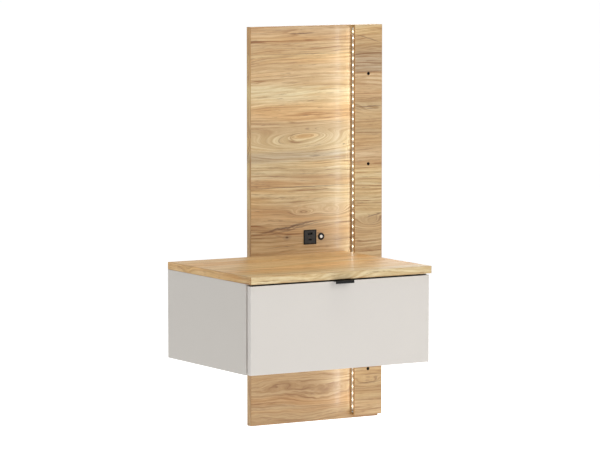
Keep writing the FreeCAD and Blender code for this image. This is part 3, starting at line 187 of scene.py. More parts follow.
def evenNoise(tree, vector, scale, detail=2.0):
    inputs = {"Vector": vector, "Scale": scale, "Detail": detail}
    return node(tree, "ShaderNodeTexNoise", inputs)


def spread(tree, value, low, high, outLow=0.0, outHigh=1.0):
    inputs = {"Value": value, "From Min": low, "From Max": high, "To Min": outLow,
              "To Max": outHigh}
    return node(tree, "ShaderNodeMapRange", inputs).outputs["Result"]


def mixed(tree, share, first, second, blend="MIX"):
    made = tree.nodes.new("ShaderNodeMix")
    made.data_type = "RGBA"
    made.blend_type = blend
    feed(tree, share, made.inputs[0])
    feed(tree, first, made.inputs[6])
    feed(tree, second, made.inputs[7])
    return made.outputs[2]


def ramp(tree, value, stops):
    made = tree.nodes.new("ShaderNodeValToRGB")
    elements = made.color_ramp.elements
    while len(elements) < len(stops):
        elements.new(0.5)
    for element, (place, colour) in zip(elements, stops):
        element.position = place
        element.color = colour
    feed(tree, value, made.inputs[0])
    return made.outputs[0]


def startGroup(name, inputs, outputs):
    kinds = {"number": "NodeSocketFloat", "vector": "NodeSocketVector", "colour": "NodeSocketColor"}
    tree = bpy.data.node_groups.new(name, "ShaderNodeTree")
    for label, kind, default in inputs:
        socket = tree.interface.new_socket(name=label, in_out="INPUT", socket_type=kinds[kind])
        socket.default_value = default
    for label, kind in outputs:
        tree.interface.new_socket(name=label, in_out="OUTPUT", socket_type=kinds[kind])
    given = tree.nodes.new("NodeGroupInput").outputs
    return tree, given, tree.nodes.new("NodeGroupOutput").inputs


def useGroup(tree, group, inputs):
    made = tree.nodes.new("ShaderNodeGroup")
    made.node_tree = group
    for key, value in inputs.items():
        feed(tree, value, made.inputs[key])
    return made.outputs


# effects that more than one material uses, each one a node group

woodEye = {
    "wobble": 0.005,  # metres that an oval's outline wanders
    "wobbleScale": 18.0,
    "pull": 0.9,  # share of the way that straight grain is drawn to the oval's middle
}


def makeEyeGroup():
    # closes the year rings into ovals: rings swell inside it, and straight grain is drawn in
    tree, given, out = startGroup(
        "woodEye",
        [("Vector", "vector", (0, 0, 0)), ("Place", "vector", (0, 0, 0)),
         ("Radii", "vector", (0.1, 0.02, 0.1)), ("Amount", "number", 1.0),
         ("Across", "number", 0.0)],
        [("Rings", "number"), ("Across", "number")],
    )
    cloud = evenNoise(tree, given["Vector"], woodEye["wobbleScale"])
    wobble = vectors(tree, "SCALE", cloud.outputs["Color"])
    wobble.node.inputs["Scale"].default_value = woodEye["wobble"]
    moved = vectors(tree, "ADD", given["Vector"], wobble)
    away = vectors(tree, "SUBTRACT", moved, given["Place"])
    away = vectors(tree, "SUBTRACT", away, (woodEye["wobble"] / 2,) * 3)
    share = vectors(tree, "DIVIDE", away, given["Radii"])
    far = vectors(tree, "DOT_PRODUCT", share, share)
    hill = maths(tree, "EXPONENT", maths(tree, "MULTIPLY", far, -1.0))
    feed(tree, maths(tree, "MULTIPLY", hill, given["Amount"]), out["Rings"])
    middle = apart(tree, given["Place"])["Y"]
    pull = maths(tree, "MULTIPLY", maths(tree, "SUBTRACT", middle, given["Across"]), hill)
    pulled = maths(tree, "MULTIPLY_ADD", pull, woodEye["pull"], given["Across"])
    feed(tree, pulled, out["Across"])
    return tree


woodCrack = {
    # along, across and through the board
    "waveScale": (22, 3, 3),
    "breakScale": (70, 400, 10),
    "thinnest": 0.00005,  # metres
}


def makeCrackGroup():
    # a thin dark line that follows the grain, wanders and fades at both ends
    tree, given, out = startGroup(
        "woodCrack",
        [("Vector", "vector", (0, 0, 0)), ("Place", "vector", (0, 0, 0)),
         ("Half Length", "number", 0.05), ("Slope", "number", 0.0), ("Width", "number", 0.001),
         ("Wander", "number", 0.004)],
        [("Mask", "number")],
    )
    away = apart(tree, vectors(tree, "SUBTRACT", given["Vector"], given["Place"]))
    wave = maths(tree, "SUBTRACT", noise(tree, given["Vector"], woodCrack["waveScale"], 3.0), 0.5)
    wave = maths(tree, "MULTIPLY", wave, given["Wander"])
    line = maths(tree, "MULTIPLY_ADD", away["X"], given["Slope"], wave)
    off = maths(tree, "ABSOLUTE", maths(tree, "SUBTRACT", away["Y"], line))
    along = maths(tree, "DIVIDE", maths(tree, "ABSOLUTE", away["X"]), given["Half Length"])
    fade = maths(tree, "SUBTRACT", 1.0, maths(tree, "POWER", along, 2.0), clamp=True)
    breaks = noise(tree, given["Vector"], woodCrack["breakScale"])
    broken = spread(tree, breaks, 0.3, 0.6, 0.35, 1.0)
    width = maths(tree, "MULTIPLY", maths(tree, "MULTIPLY", given["Width"], fade), broken)
    width = maths(tree, "ADD", width, woodCrack["thinnest"])
    sharp = maths(tree, "SUBTRACT", 1.0, maths(tree, "DIVIDE", off, width), clamp=True)
    feed(tree, maths(tree, "MULTIPLY", sharp, fade), out["Mask"])
    return tree


boardEdge = {
    # metres
    "band": 0.001,
    "seamFull": 0.0001,
    "seamGone": 0.0003,
    # metres from an edge over which the oak darkens and the laminate gets a painted highlight
    "edgeReach": 0.0025,
}


def makeEdgeGroup():
    # where a board's ends are, the seam where its edge band meets its face, and how near a
    # point is to the closest edge of the face that it is on
    tree, given, out = startGroup(
        "boardEdge",
        [("Vector", "vector", (0, 0, 0)), ("Half Size", "vector", (1, 1, 1)),
         ("Band", "number", boardEdge["band"])],
        [("Ends", "number"), ("Seam", "number"), ("Edge", "number")],
    )
    away = vectors(tree, "ABSOLUTE", given["Vector"])
    part = apart(tree, vectors(tree, "SUBTRACT", given["Half Size"], away))
    feed(tree, maths(tree, "LESS_THAN", part["X"], given["Band"]), out["Ends"])
    seams = []
    for axis in "XY":
        off = maths(tree, "ABSOLUTE", maths(tree, "SUBTRACT", part[axis], given["Band"]))
        seams.append(spread(tree, off, boardEdge["seamFull"], boardEdge["seamGone"], 1.0, 0.0))
    feed(tree, maths(tree, "MAXIMUM", *seams), out["Seam"])
    # the middle one of the three distances is the one to that edge
    small = maths(tree, "MINIMUM", part["X"], part["Y"])
    large = maths(tree, "MAXIMUM", part["X"], part["Y"])
    middle = maths(tree, "MAXIMUM", small, maths(tree, "MINIMUM", large, part["Z"]))
    feed(tree, spread(tree, middle, 0.0, boardEdge["edgeReach"], 1.0, 0.0), out["Edge"])
    return tree


oak = {
    "pale": linear(229, 208, 167),
    "middle": linear(192, 160, 115),
    "dark": linear(144, 100, 58),
    "amber": (1.04, 0.88, 0.68, 1),  # what the warm bands are multiplied by
    "dash": linear(128, 84, 50),
    "pore": linear(120, 84, 50),
    "crack": linear(82, 46, 28),
    "seam": linear(150, 104, 56),
    "edge": linear(164, 114, 60),
    # painted shade on the walls of the bolt holes
    "hole": linear(24, 18, 14),
    "roughness": 0.44,
    "coatRoughness": 0.22,
    "bump": (0.25, 0.0004),
    "holeShade": 0.0041,  # metres round a bolt hole's axis
    # metres that the grain wanders: slowly, quickly, and more where a board curls
    "slowWave": 0.045,
    "fastWave": 0.0025,
    "curlWave": 0.024,
    "lean": 0.35,  # how far the rings shift across, for each metre through the board
}
figureScales = {
    # how fine each figure is along, across and through the board
    "slow": (2.4, 8, 8),
    "fast": (11, 30, 30),
    "strength": (1.3, 60, 8),
    "breaks": (9, 500, 60),
    "broad": (2.2, 46, 10),
    "streak": (7, 170, 30),
    "fibre": (16, 900, 300),
    "dash": (14, 260, 60),
    "pore": (55, 2100, 900),
    "vein": (1.8, 40, 6),
    "amber": (2.0, 26, 8),
}
figureShares = {"late": 0.70, "vein": 0.45, "broad": 0.22, "streak": 0.33, "fibre": 0.12,
                "dash": 0.50, "pore": 0.35, "seam": 0.45, "edge": 0.42}  # of each one's tone
figureHeights = {"fibre": 0.25, "pore": -0.5, "dash": -0.3, "crack": -0.9, "seam": -0.6,
                 "late": -0.2}


def makeOakGroup(edge):
    # flat-sawn oak boards, glued side by side, grain along X, boards along Y
    tree, given, out = startGroup(
        "oakBoard",
        [("Vector", "vector", (0, 0, 0)), ("Half Size", "vector", (1, 1, 1)),
         ("Seed", "vector", (0, 0, 0)), ("Plank", "colour", (0.5, 0.5, 0.5, 1)),
         ("Pale", "colour", (1, 1, 1, 1)), ("Middle", "colour", (0.5, 0.5, 0.5, 1)),
         ("Dark", "colour", (0, 0, 0, 1)), ("End Shade", "colour", (1, 1, 1, 1)),
         ("Rings", "number", 0.0), ("Ring Scale", "number", 60.0), ("Across", "number", 0.0),
         ("Curl", "number", 0.0), ("Crack", "number", 0.0), ("Hole Shade", "number", 0.0),
         ("Warmth", "number", 0.5)],
        [("Color", "colour"), ("Roughness", "number"), ("Height", "number")],
    )
    edges = useGroup(tree, edge, {"Vector": given["Vector"], "Half Size": given["Half Size"]})
    # the end bands carry grain of their own, along the edge
    part = apart(tree, given["Vector"])
    onBand = node(tree, "ShaderNodeMix", {0: edges["Ends"]}, data_type="VECTOR")
    feed(tree, given["Vector"], onBand.inputs[4])
    feed(tree, together(tree, part["Y"], part["Z"], part["X"]), onBand.inputs[5])
    point = vectors(tree, "ADD", onBand.outputs[1], given["Seed"])
    place = apart(tree, point)
    across = node(tree, "ShaderNodeMix", {0: edges["Ends"], 2: given["Across"], 3: place["Y"]})
    across = maths(tree, "MULTIPLY_ADD", place["Z"], oak["lean"], across.outputs[0])
    slow = maths(tree, "SUBTRACT", noise(tree, point, figureScales["slow"]), 0.5)
    across = maths(tree, "MULTIPLY_ADD", slow, oak["slowWave"], across)
    fast = maths(tree, "SUBTRACT", noise(tree, point, figureScales["fast"]), 0.5)
    curl = maths(tree, "MULTIPLY_ADD", given["Curl"], oak["curlWave"], oak["fastWave"])
    across = maths(tree, "MULTIPLY_ADD", fast, curl, across)
    level = maths(tree, "MULTIPLY_ADD", across, given["Ring Scale"], given["Rings"])
    bent = maths(tree, "DIVIDE", level, given["Ring Scale"])
    grain = together(tree, place["X"], bent, place["Z"])

    def figure(name, detail=2.0, roughness=0.5):
        return noise(tree, grain, figureScales[name], detail, roughness)

    # each year ring rises slowly and ends sharply, and some rings are darker than others
    ring = maths(tree, "FRACT", level)
    end = spread(tree, ring, 0.92, 1.0, 1.0, 0.0)
    late = maths(tree, "MULTIPLY", maths(tree, "POWER", ring, 3.5), end)
    strength = spread(tree, figure("strength", 2.0, 0.7), 0.40, 0.64, 0.05, 1.0)
    late = maths(tree, "MULTIPLY", late, strength)
    late = maths(tree, "MULTIPLY", late, spread(tree, figure("breaks"), 0.35, 0.6, 0.45, 1.0))
    vein = maths(tree, "ABSOLUTE", maths(tree, "SUBTRACT", figure("vein", 3.0, 0.6), 0.5))
    vein = maths(tree, "MULTIPLY", spread(tree, vein, 0.004, 0.022, 1.0, 0.0), strength)
    broad = spread(tree, figure("broad", 3.0, 0.6), 0.30, 0.70)
    streak = spread(tree, figure("streak", 5.0, 0.75), 0.38, 0.62)
    fibre = spread(tree, figure("fibre", 2.0, 0.6), 0.30, 0.70)
    dash = spread(tree, figure("dash", 3.0, 0.7), 0.58, 0.66)
    pore = spread(tree, figure("pore", 1.0, 0.5), 0.62, 0.74)
    pore = maths(tree, "MULTIPLY", pore, spread(tree, ring, 0.0, 0.5, 1.0, 0.25))

    dark = maths(tree, "MULTIPLY", late, figureShares["late"])
    for name, mask in (("vein", vein), ("broad", broad), ("streak", streak)):
        dark = maths(tree, "MULTIPLY_ADD", mask, figureShares[name], dark)
    dark = maths(tree, "MULTIPLY_ADD", fibre, figureShares["fibre"], dark, clamp=True)
    colour = mixed(tree, spread(tree, dark, 0.0, 0.5), given["Pale"], given["Middle"])
    colour = mixed(tree, spread(tree, dark, 0.5, 1.0), colour, given["Dark"])
    colour = mixed(tree, 1.0, colour, given["Plank"], "MULTIPLY")
    warm = maths(tree, "MULTIPLY", spread(tree, figure("amber", 2.0, 0.6), 0.46, 0.66),
                 given["Warmth"])
    colour = mixed(tree, warm, colour, mixed(tree, 1.0, colour, oak["amber"], "MULTIPLY"))
    for name, mask in (("dash", dash), ("pore", pore)):
        colour = mixed(tree, maths(tree, "MULTIPLY", mask, figureShares[name]), colour, oak[name])
    colour = mixed(tree, given["Crack"], colour, oak["crack"])
    for name, mask in (("seam", edges["Seam"]), ("edge", edges["Edge"])):
        colour = mixed(tree, maths(tree, "MULTIPLY", mask, figureShares[name]), colour, oak[name])
    shaded = mixed(tree, 1.0, colour, given["End Shade"], "MULTIPLY")
    colour = mixed(tree, edges["Ends"], colour, shaded)
    # painted shade inside the bolt holes
    feed(tree, mixed(tree, given["Hole Shade"], colour, oak["hole"]), out["Color"])

    rough = maths(tree, "MULTIPLY_ADD", streak, 0.08, oak["roughness"])
    rough = maths(tree, "MULTIPLY_ADD", pore, 0.15, rough)
    feed(tree, maths(tree, "MULTIPLY_ADD", edges["Edge"], -0.06, rough), out["Roughness"])
    height = maths(tree, "MULTIPLY", fibre, figureHeights["fibre"])
    for name, mask in (("pore", pore), ("dash", dash), ("crack", given["Crack"]),
                       ("seam", edges["Seam"]), ("late", late)):
        height = maths(tree, "MULTIPLY_ADD", mask, figureHeights[name], height)
    feed(tree, height, out["Height"])
    return tree


laminate = {
    "front": linear(214, 209, 203),
    "carcase": linear(204, 199, 192),
    "drawer": linear(206, 204, 200),
    # painted shade: near-black for the front rail, so that the gap above the drawer front reads as
    # dark
    "gapShadeBlack": linear(14, 14, 15),
    "speck": linear(150, 146, 140),
    "seam": linear(120, 116, 110),
    # painted highlight along the laminate's edges
    "edgeHighlight": (0.95, 0.94, 0.92, 1),
    # painted shade along the drawer front's upper edge, near-black, and how tall it is
    "topShadeBand": linear(12, 12, 13),
    "topShadeBandTall": 0.0006,  # metres
    "roughness": 0.40,
    "coat": 0.05,
    "coatRoughness": 0.35,
    "bump": (0.12, 0.0001),
    "boards": {
        # the axes of length, width and thickness, and the finish
        "drawer_front": ("XZY", "front"),
        "side_left": ("YZX", "carcase"),
        "side_right": ("YZX", "carcase"),
        "bottom_panel": ("XYZ", "carcase"),
        "cabinet_back": ("XZY", "carcase"),
        # painted shade, near-black
        "front_rail": ("XYZ", "gapShadeBlack"),
        "drawer_side_left": ("YZX", "drawer"),
        "drawer_side_right": ("YZX", "drawer"),
        "drawer_back": ("XZY", "drawer"),
        "drawer_bottom": ("XYZ", "drawer"),
    },
}


def makeLaminateGroup(edge):
    # melamine face with a fine pearl texture, a faint cloud in its colour and a painted highlight
    # along its edges
    tree, given, out = startGroup(
        "laminate",
        [("Vector", "vector", (0, 0, 0)), ("Half Size", "vector", (1, 1, 1)),
         ("Face", "colour", (1, 1, 1, 1)), ("Cloud", "number", 0.03), ("Fine", "number", 1300.0),
         ("Top", "number", 0.0)],
        [("Color", "colour"), ("Roughness", "number"), ("Height", "number")],
    )
    edges = useGroup(tree, edge, {"Vector": given["Vector"], "Half Size": given["Half Size"]})
    cloud = noise(tree, given["Vector"], (7, 7, 7), 3.0, 0.6)
    pearl = evenNoise(tree, given["Vector"], given["Fine"]).outputs["Fac"]
    speck = spread(tree, noise(tree, given["Vector"], (420, 420, 420), 1.0), 0.68, 0.74)
    shade = maths(tree, "MULTIPLY", maths(tree, "SUBTRACT", cloud, 0.5), given["Cloud"])
    shade = maths(tree, "MULTIPLY_ADD", maths(tree, "SUBTRACT", pearl, 0.5), 0.05, shade)
    bright = maths(tree, "ADD", shade, 1.0)
    grey = together(tree, bright, bright, bright)
    colour = mixed(tree, 1.0, given["Face"], grey, "MULTIPLY")
    # specks, dark seams, and a painted highlight near the edges
    for mask, share, tone in ((speck, 0.05, "speck"), (edges["Seam"], 0.16, "seam"),
                              (edges["Edge"], 0.10, "edgeHighlight")):
        colour = mixed(tree, maths(tree, "MULTIPLY", mask, share), colour, laminate[tone])
    # painted shade along the drawer front's upper edge
    feed(tree, mixed(tree, given["Top"], colour, laminate["topShadeBand"]), out["Color"])
    rough = maths(tree, "MULTIPLY_ADD", cloud, 0.12, laminate["roughness"])
    feed(tree, maths(tree, "MULTIPLY_ADD", edges["Edge"], -0.08, rough), out["Roughness"])
    feed(tree, maths(tree, "MULTIPLY_ADD", edges["Seam"], -0.8, pearl), out["Height"])
    return tree


def makeGrainedGroup():
    # moulded or powder-coated skin: fine bumps, cloudy gloss and a little dust
    tree, given, out = startGroup(
        "fineSkin",
        [("Vector", "vector", (0, 0, 0)), ("Tone", "colour", (0, 0, 0, 1)),
         ("Dust", "colour", (0.3, 0.3, 0.3, 1)), ("Grain", "number", 2600.0),
         ("Gloss", "number", 0.4)],
        [("Color", "colour"), ("Roughness", "number"), ("Height", "number")],
    )
    cloud = noise(tree, given["Vector"], (60, 60, 60), 3.0, 0.6)
    dust = spread(tree, noise(tree, given["Vector"], (240, 240, 240), 3.0, 0.7), 0.52, 0.8)
    dusty = maths(tree, "MULTIPLY", dust, 0.10)
    feed(tree, mixed(tree, dusty, given["Tone"], given["Dust"]), out["Color"])
    rough = maths(tree, "ADD", given["Gloss"], maths(tree, "MULTIPLY", cloud, 0.16))
    feed(tree, maths(tree, "MULTIPLY_ADD", dust, 0.12, rough), out["Roughness"])
    feed(tree, evenNoise(tree, given["Vector"], given["Grain"]).outputs["Fac"], out["Height"])
    return tree


def makeBrushedGroup():
    # drawn or rolled metal: long fine lines along one way, with a cloud of wear
    tree, given, out = startGroup(
        "brushedMetal",
        [("Vector", "vector", (0, 0, 0)), ("Stretch", "vector", (20, 900, 900)),
         ("Tone", "colour", (1, 1, 1, 1)), ("Worn", "colour", (0.78, 0.77, 0.75, 1)),
         ("Line", "colour", (0.3, 0.3, 0.3, 1)), ("Gloss", "number", 0.3)],
        [("Color", "colour"), ("Roughness", "number"), ("Height", "number")],
    )
    lines = noise(tree, given["Vector"], given["Stretch"], 3.0)
    cloud = noise(tree, given["Vector"], (90, 90, 90), 3.0, 0.6)
    dull = mixed(tree, 1.0, given["Tone"], given["Worn"], "MULTIPLY")
    colour = mixed(tree, spread(tree, cloud, 0.45, 0.75), given["Tone"], dull)
    faint = maths(tree, "MULTIPLY", lines, 0.18)
    feed(tree, mixed(tree, faint, colour, given["Line"]), out["Color"])
    rough = maths(tree, "ADD", given["Gloss"], faint)
    feed(tree, maths(tree, "MULTIPLY_ADD", cloud, 0.10, rough), out["Roughness"])
    feed(tree, lines, out["Height"])
    return tree


eyeGroup = makeEyeGroup()
crackGroup = makeCrackGroup()
edgeGroup = makeEdgeGroup()
oakGroup = makeOakGroup(edgeGroup)
laminateGroup = makeLaminateGroup(edgeGroup)
skinGroup = makeGrainedGroup()
brushedGroup = makeBrushedGroup()
print("node groups made:", len(bpy.data.node_groups))


def newMaterial(name):
    made = bpy.data.materials.new(name)
    made.use_nodes = True
    tree = made.node_tree
    shader = tree.nodes["Principled BSDF"]
    coordinates = tree.nodes.new("ShaderNodeTexCoord").outputs["Object"]
    return made, tree, shader, coordinates


def finishSurface(tree, shader, look, bump, metallic=0.0, coat=0.0, coatRoughness=0.1,
                  specular=0.5):
    # bump holds a strength and a depth in metres
    feed(tree, look["Color"], shader.inputs["Base Color"])
    feed(tree, look["Roughness"], shader.inputs["Roughness"])
    strength, distance = bump
    relief = {"Height": look["Height"], "Strength": strength, "Distance": distance}
    feed(tree, node(tree, "ShaderNodeBump", relief).outputs[0], shader.inputs["Normal"])
    shader.inputs["Metallic"].default_value = metallic
    shader.inputs["Coat Weight"].default_value = coat
    shader.inputs["Coat Roughness"].default_value = coatRoughness
    shader.inputs["Specular IOR Level"].default_value = specular


def dress(name, material):
    nodes[name].data.materials.clear()
    nodes[name].data.materials.append(material)


def boardPoint(tree, coordinates, name, order):
    # coordinates from the board's centre, with the grain along X and the board's width along Y
    low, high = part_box(name)
    part = apart(tree, vectors(tree, "SUBTRACT", coordinates, tuple((low + high) / 2)))
    half = dict(zip("XYZ", (high - low) / 2))
    return together(tree, *(part[axis] for axis in order)), tuple(half[axis] for axis in order)


oakTints = {
    # what the wood's own colour is multiplied by
    "cream": (1.15, 1.25, 1.3, 1),
    "straw": (1.1, 1.15, 1.15, 1),
    "golden": (1.2, 1.1, 0.95, 1),
    "amber": (1.1, 1.0, 0.8, 1),
    "honey": (1.05, 1.0, 0.95, 1),
    "sand": (1.0, 0.95, 0.95, 1),
    "tan": (0.95, 0.9, 0.85, 1),
    "grey": (0.9, 0.95, 1.05, 1),
    "slate": (0.8, 0.8, 0.9, 1),
    "brown": (0.85, 0.8, 0.75, 1),
    "russet": (0.8, 0.7, 0.6, 1),
}
oakBoards = {
    # planks: where one starts and how wide it blends there, in millimetres across from the
    # board's centre, and its tint
    # eyes: along, across, half length, half width, how many rings
    # cracks: along, across, half length, slope, width, wander, depth
    "main_panel": {
        "order": "XZY",
        "seed": (0.3, 0.0, 0.2),
        "rings": 105.0,
        "coat": 0.30,
        "specular": 0.5,
        "warmth": 0.75,
        "curl": (-0.30, -0.34),
        "endShade": (0.86, 0.79, 0.58, 1),
        "planks": [
            # the russet band at the bottom, below the cabinet, is partly the wood's own tone and
            # partly painted shade
            (-490, 0, "russet"), (-240, 200, "honey"), (-40, 20, "tan"), (-5, 15, "honey"),
            (50, 25, "straw"), (95, 3, "tan"), (125, 15, "cream"),
            (157, 6, "grey"), (182, 8, "straw"), (225, 20, "tan"),
            (250, 20, "honey"), (300, 40, "cream"), (345, 12, "honey"),
            (410, 15, "straw"), (421, 3, "tan"), (465, 20, "sand"),
        ],
        "eyes": [
            (-0.055, 0.208, 0.150, 0.027, 5.0), (-0.02, 0.222, 0.06, 0.010, 1.2),
            (-0.033, 0.032, 0.030, 0.009, 2.6), (0.05, 0.035, 0.05, 0.016, 2.0),
            (0.03, -0.42, 0.10, 0.03, 1.8), (-0.11, -0.40, 0.06, 0.02, -1.2),
        ],
        "cracks": [
            (-0.04, 0.472, 0.050, 0.01, 0.0030, 0.004, 0.9),
            (-0.072, -0.003, 0.105, 0.16, 0.0062, 0.016, 0.85),
            (-0.05, -0.006, 0.10, 0.19, 0.0036, 0.012, 0.6),
            (-0.080, -0.029, 0.007, 0.1, 0.0075, 0.001, 1.0),
            (-0.080, -0.029, 0.016, 0.1, 0.0130, 0.002, 0.35),
            (0.0, 0.4215, 0.25, 0.0, 0.0014, 0.003, 0.6),
            (-0.02, 0.0945, 0.25, 0.0, 0.0018, 0.004, 0.75),
            (-0.06, 0.448, 0.05, 0.0, 0.0010, 0.003, 0.5),
            (0.083, 0.196, 0.006, 0.1, 0.0024, 0.001, 0.8),
            (0.0, 0.170, 0.020, 0.0, 0.0030, 0.003, 0.6),
            (-0.10, -0.052, 0.07, 0.05, 0.0020, 0.006, 0.4),
        ],
    },
    "strip_board": {
        "order": "XZY",
        "seed": (1.7, 0.3, 0.5),
        "rings": 120.0,
        "coat": 0.12,
        "specular": 0.4,
        "warmth": 0.45,
        "curl": (-2.0, -3.0),
        "endShade": (0.86, 0.76, 0.58, 1),
        "planks": [
            (-490, 0, "sand"), (-450, 20, "brown"), (-400, 20, "tan"), (-5, 15, "brown"),
            (12, 10, "straw"), (100, 25, "cream"), (135, 15, "sand"),
            (185, 30, "tan"), (215, 15, "brown"), (245, 20, "tan"), (275, 15, "brown"),
            (300, 20, "sand"), (369, 4, "slate"), (420, 30, "brown"), (448, 15, "tan"),
            (461, 6, "straw"),
        ],
        "eyes": [
            (0.02, 0.28, 0.05, 0.015, 1.8), (0.01, 0.00, 0.05, 0.02, 2.5),
            (0.0, -0.40, 0.05, 0.012, 1.6),
        ],
        "cracks": [
            (0.0, 0.2835, 0.05, 0.02, 0.0034, 0.006, 0.75),
            (0.0, 0.278, 0.04, 0.02, 0.0016, 0.006, 0.6),
            (0.0, 0.452, 0.05, -0.3, 0.0026, 0.006, 0.6),
            (0.02, 0.014, 0.03, 0.25, 0.0030, 0.004, 0.7),
            (0.0, -0.405, 0.04, 0.03, 0.0026, 0.004, 0.7),
            (0.0, 0.3705, 0.06, 0.0, 0.0016, 0.002, 0.7),
            (-0.02, 0.045, 0.02, -0.1, 0.0012, 0.003, 0.5),
            (0.0, -0.385, 0.04, 0.0, 0.0014, 0.004, 0.5),
        ],
    },
    "top_board": {
        "order": "XYZ",
        "seed": (0.9, 1.3, 0.1),
        "rings": 70.0,
        "coat": 0.12,
        "specular": 0.3,
        "warmth": 1.0,
        "curl": (-2.0, -3.0),
        "endShade": (0.92, 0.9, 0.84, 1),
        "planks": [
            # the pale cream and straw bands along the front edge are a painted highlight, standing
            # in for the light's reflection there
            (-200, 0, "cream"), (-192, 8, "straw"), (-150, 40, "amber"), (-85, 40, "golden"),
            (-40, 40, "amber"), (10, 40, "golden"), (70, 40, "amber"), (130, 40, "golden"),
        ],
        "eyes": [
            (0.02, -0.06, 0.16, 0.03, 3.0), (-0.12, 0.10, 0.12, 0.02, 2.0),
        ],
        "cracks": [
            (-0.03, -0.09, 0.020, 0.0, 0.0050, 0.002, 0.8),
            (-0.05, 0.06, 0.2, 0.03, 0.0020, 0.006, 0.5),
        ],
    },
}


def boltHoleShade(tree, coordinates):
    # painted shade: one at the wall of each bolt hole drilled through the boards, where the wood is
    # painted near-black
    flat = vectors(tree, "MULTIPLY", coordinates, (1, 0, 1))
    shade = 0.0
    for mount in frame["record"]["mounts"]:
        if mount["name"].startswith("bolt_hole"):
            x, y, z = mount["pos_m"]
            off = vectors(tree, "DISTANCE", flat, (x, 0, z))
            shade = maths(tree, "MAXIMUM", maths(tree, "LESS_THAN", off, oak["holeShade"]), shade)
    return shade


def plankStops(planks, half):
    # two stops for each plank, just inside its edges
    ends = [start - blend / 2 for start, blend, tint in planks[1:]] + [half]
    stops = []
    for (start, blend, tint), end in zip(planks, ends):
        for at in (start + blend / 2, end):
            stops.append(((at + half) / (2 * half), oakTints[tint]))
    return stops


def makeOak(name):
    board = oakBoards[name]
    made, tree, shader, coordinates = newMaterial("oak_" + name)
    point, half = boardPoint(tree, coordinates, name, board["order"])
    width = apart(tree, point)["Y"]
    wavy = maths(tree, "MULTIPLY_ADD", noise(tree, point, (4, 5, 5)), 0.012, -0.006)
    share = spread(tree, maths(tree, "ADD", width, wavy), -half[1], half[1])
    plank = ramp(tree, share, plankStops(board["planks"], half[1] * 1000))
    rings, bent = 0.0, width
    for along, across, long, wide, amount in board["eyes"]:
        eye = useGroup(tree, eyeGroup, {
            "Vector": point, "Place": (along, across, 0), "Radii": (long, wide, 1),
            "Amount": amount, "Across": bent,
        })
        rings, bent = maths(tree, "ADD", eye["Rings"], rings), eye["Across"]
    cracks = 0.0
    for along, across, long, slope, wide, wander, depth in board["cracks"]:
        crack = useGroup(tree, crackGroup, {
            "Vector": point, "Place": (along, across, 0), "Half Length": long, "Slope": slope,
            "Width": wide, "Wander": wander,
        })
        cracks = maths(tree, "MAXIMUM", maths(tree, "MULTIPLY", crack["Mask"], depth), cracks)
    look = useGroup(tree, oakGroup, {
        "Vector": point, "Half Size": half, "Seed": board["seed"], "Plank": plank,
        "Pale": oak["pale"], "Middle": oak["middle"], "Dark": oak["dark"],
        "End Shade": board["endShade"], "Rings": rings, "Ring Scale": board["rings"],
        "Across": bent, "Curl": spread(tree, width, *board["curl"]), "Crack": cracks,
        "Hole Shade": boltHoleShade(tree, coordinates), "Warmth": board["warmth"],
    })
    finishSurface(tree, shader, look, oak["bump"], coat=board["coat"],
                  coatRoughness=oak["coatRoughness"], specular=board["specular"])
    dress(name, made)


for name in oakBoards:
    makeOak(name)
print("oak boards finished")


def makeLaminate(name, order, finish):
    made, tree, shader, coordinates = newMaterial("laminate_" + name)
    point, half = boardPoint(tree, coordinates, name, order)
    values = {"Vector": point, "Half Size": half, "Face": laminate[finish]}
    if name == "drawer_front":  # its upper edge gets painted shade, near-black like the rail behind it
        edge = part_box(name)[1].z - laminate["topShadeBandTall"]
        values["Top"] = maths(tree, "GREATER_THAN", apart(tree, coordinates)["Z"], edge)
    look = useGroup(tree, laminateGroup, values)
    finishSurface(tree, shader, look, laminate["bump"], coat=laminate["coat"],
                  coatRoughness=laminate["coatRoughness"])
    dress(name, made)


for name, (order, finish) in laminate["boards"].items():
    makeLaminate(name, order, finish)
print("laminate boards finished")


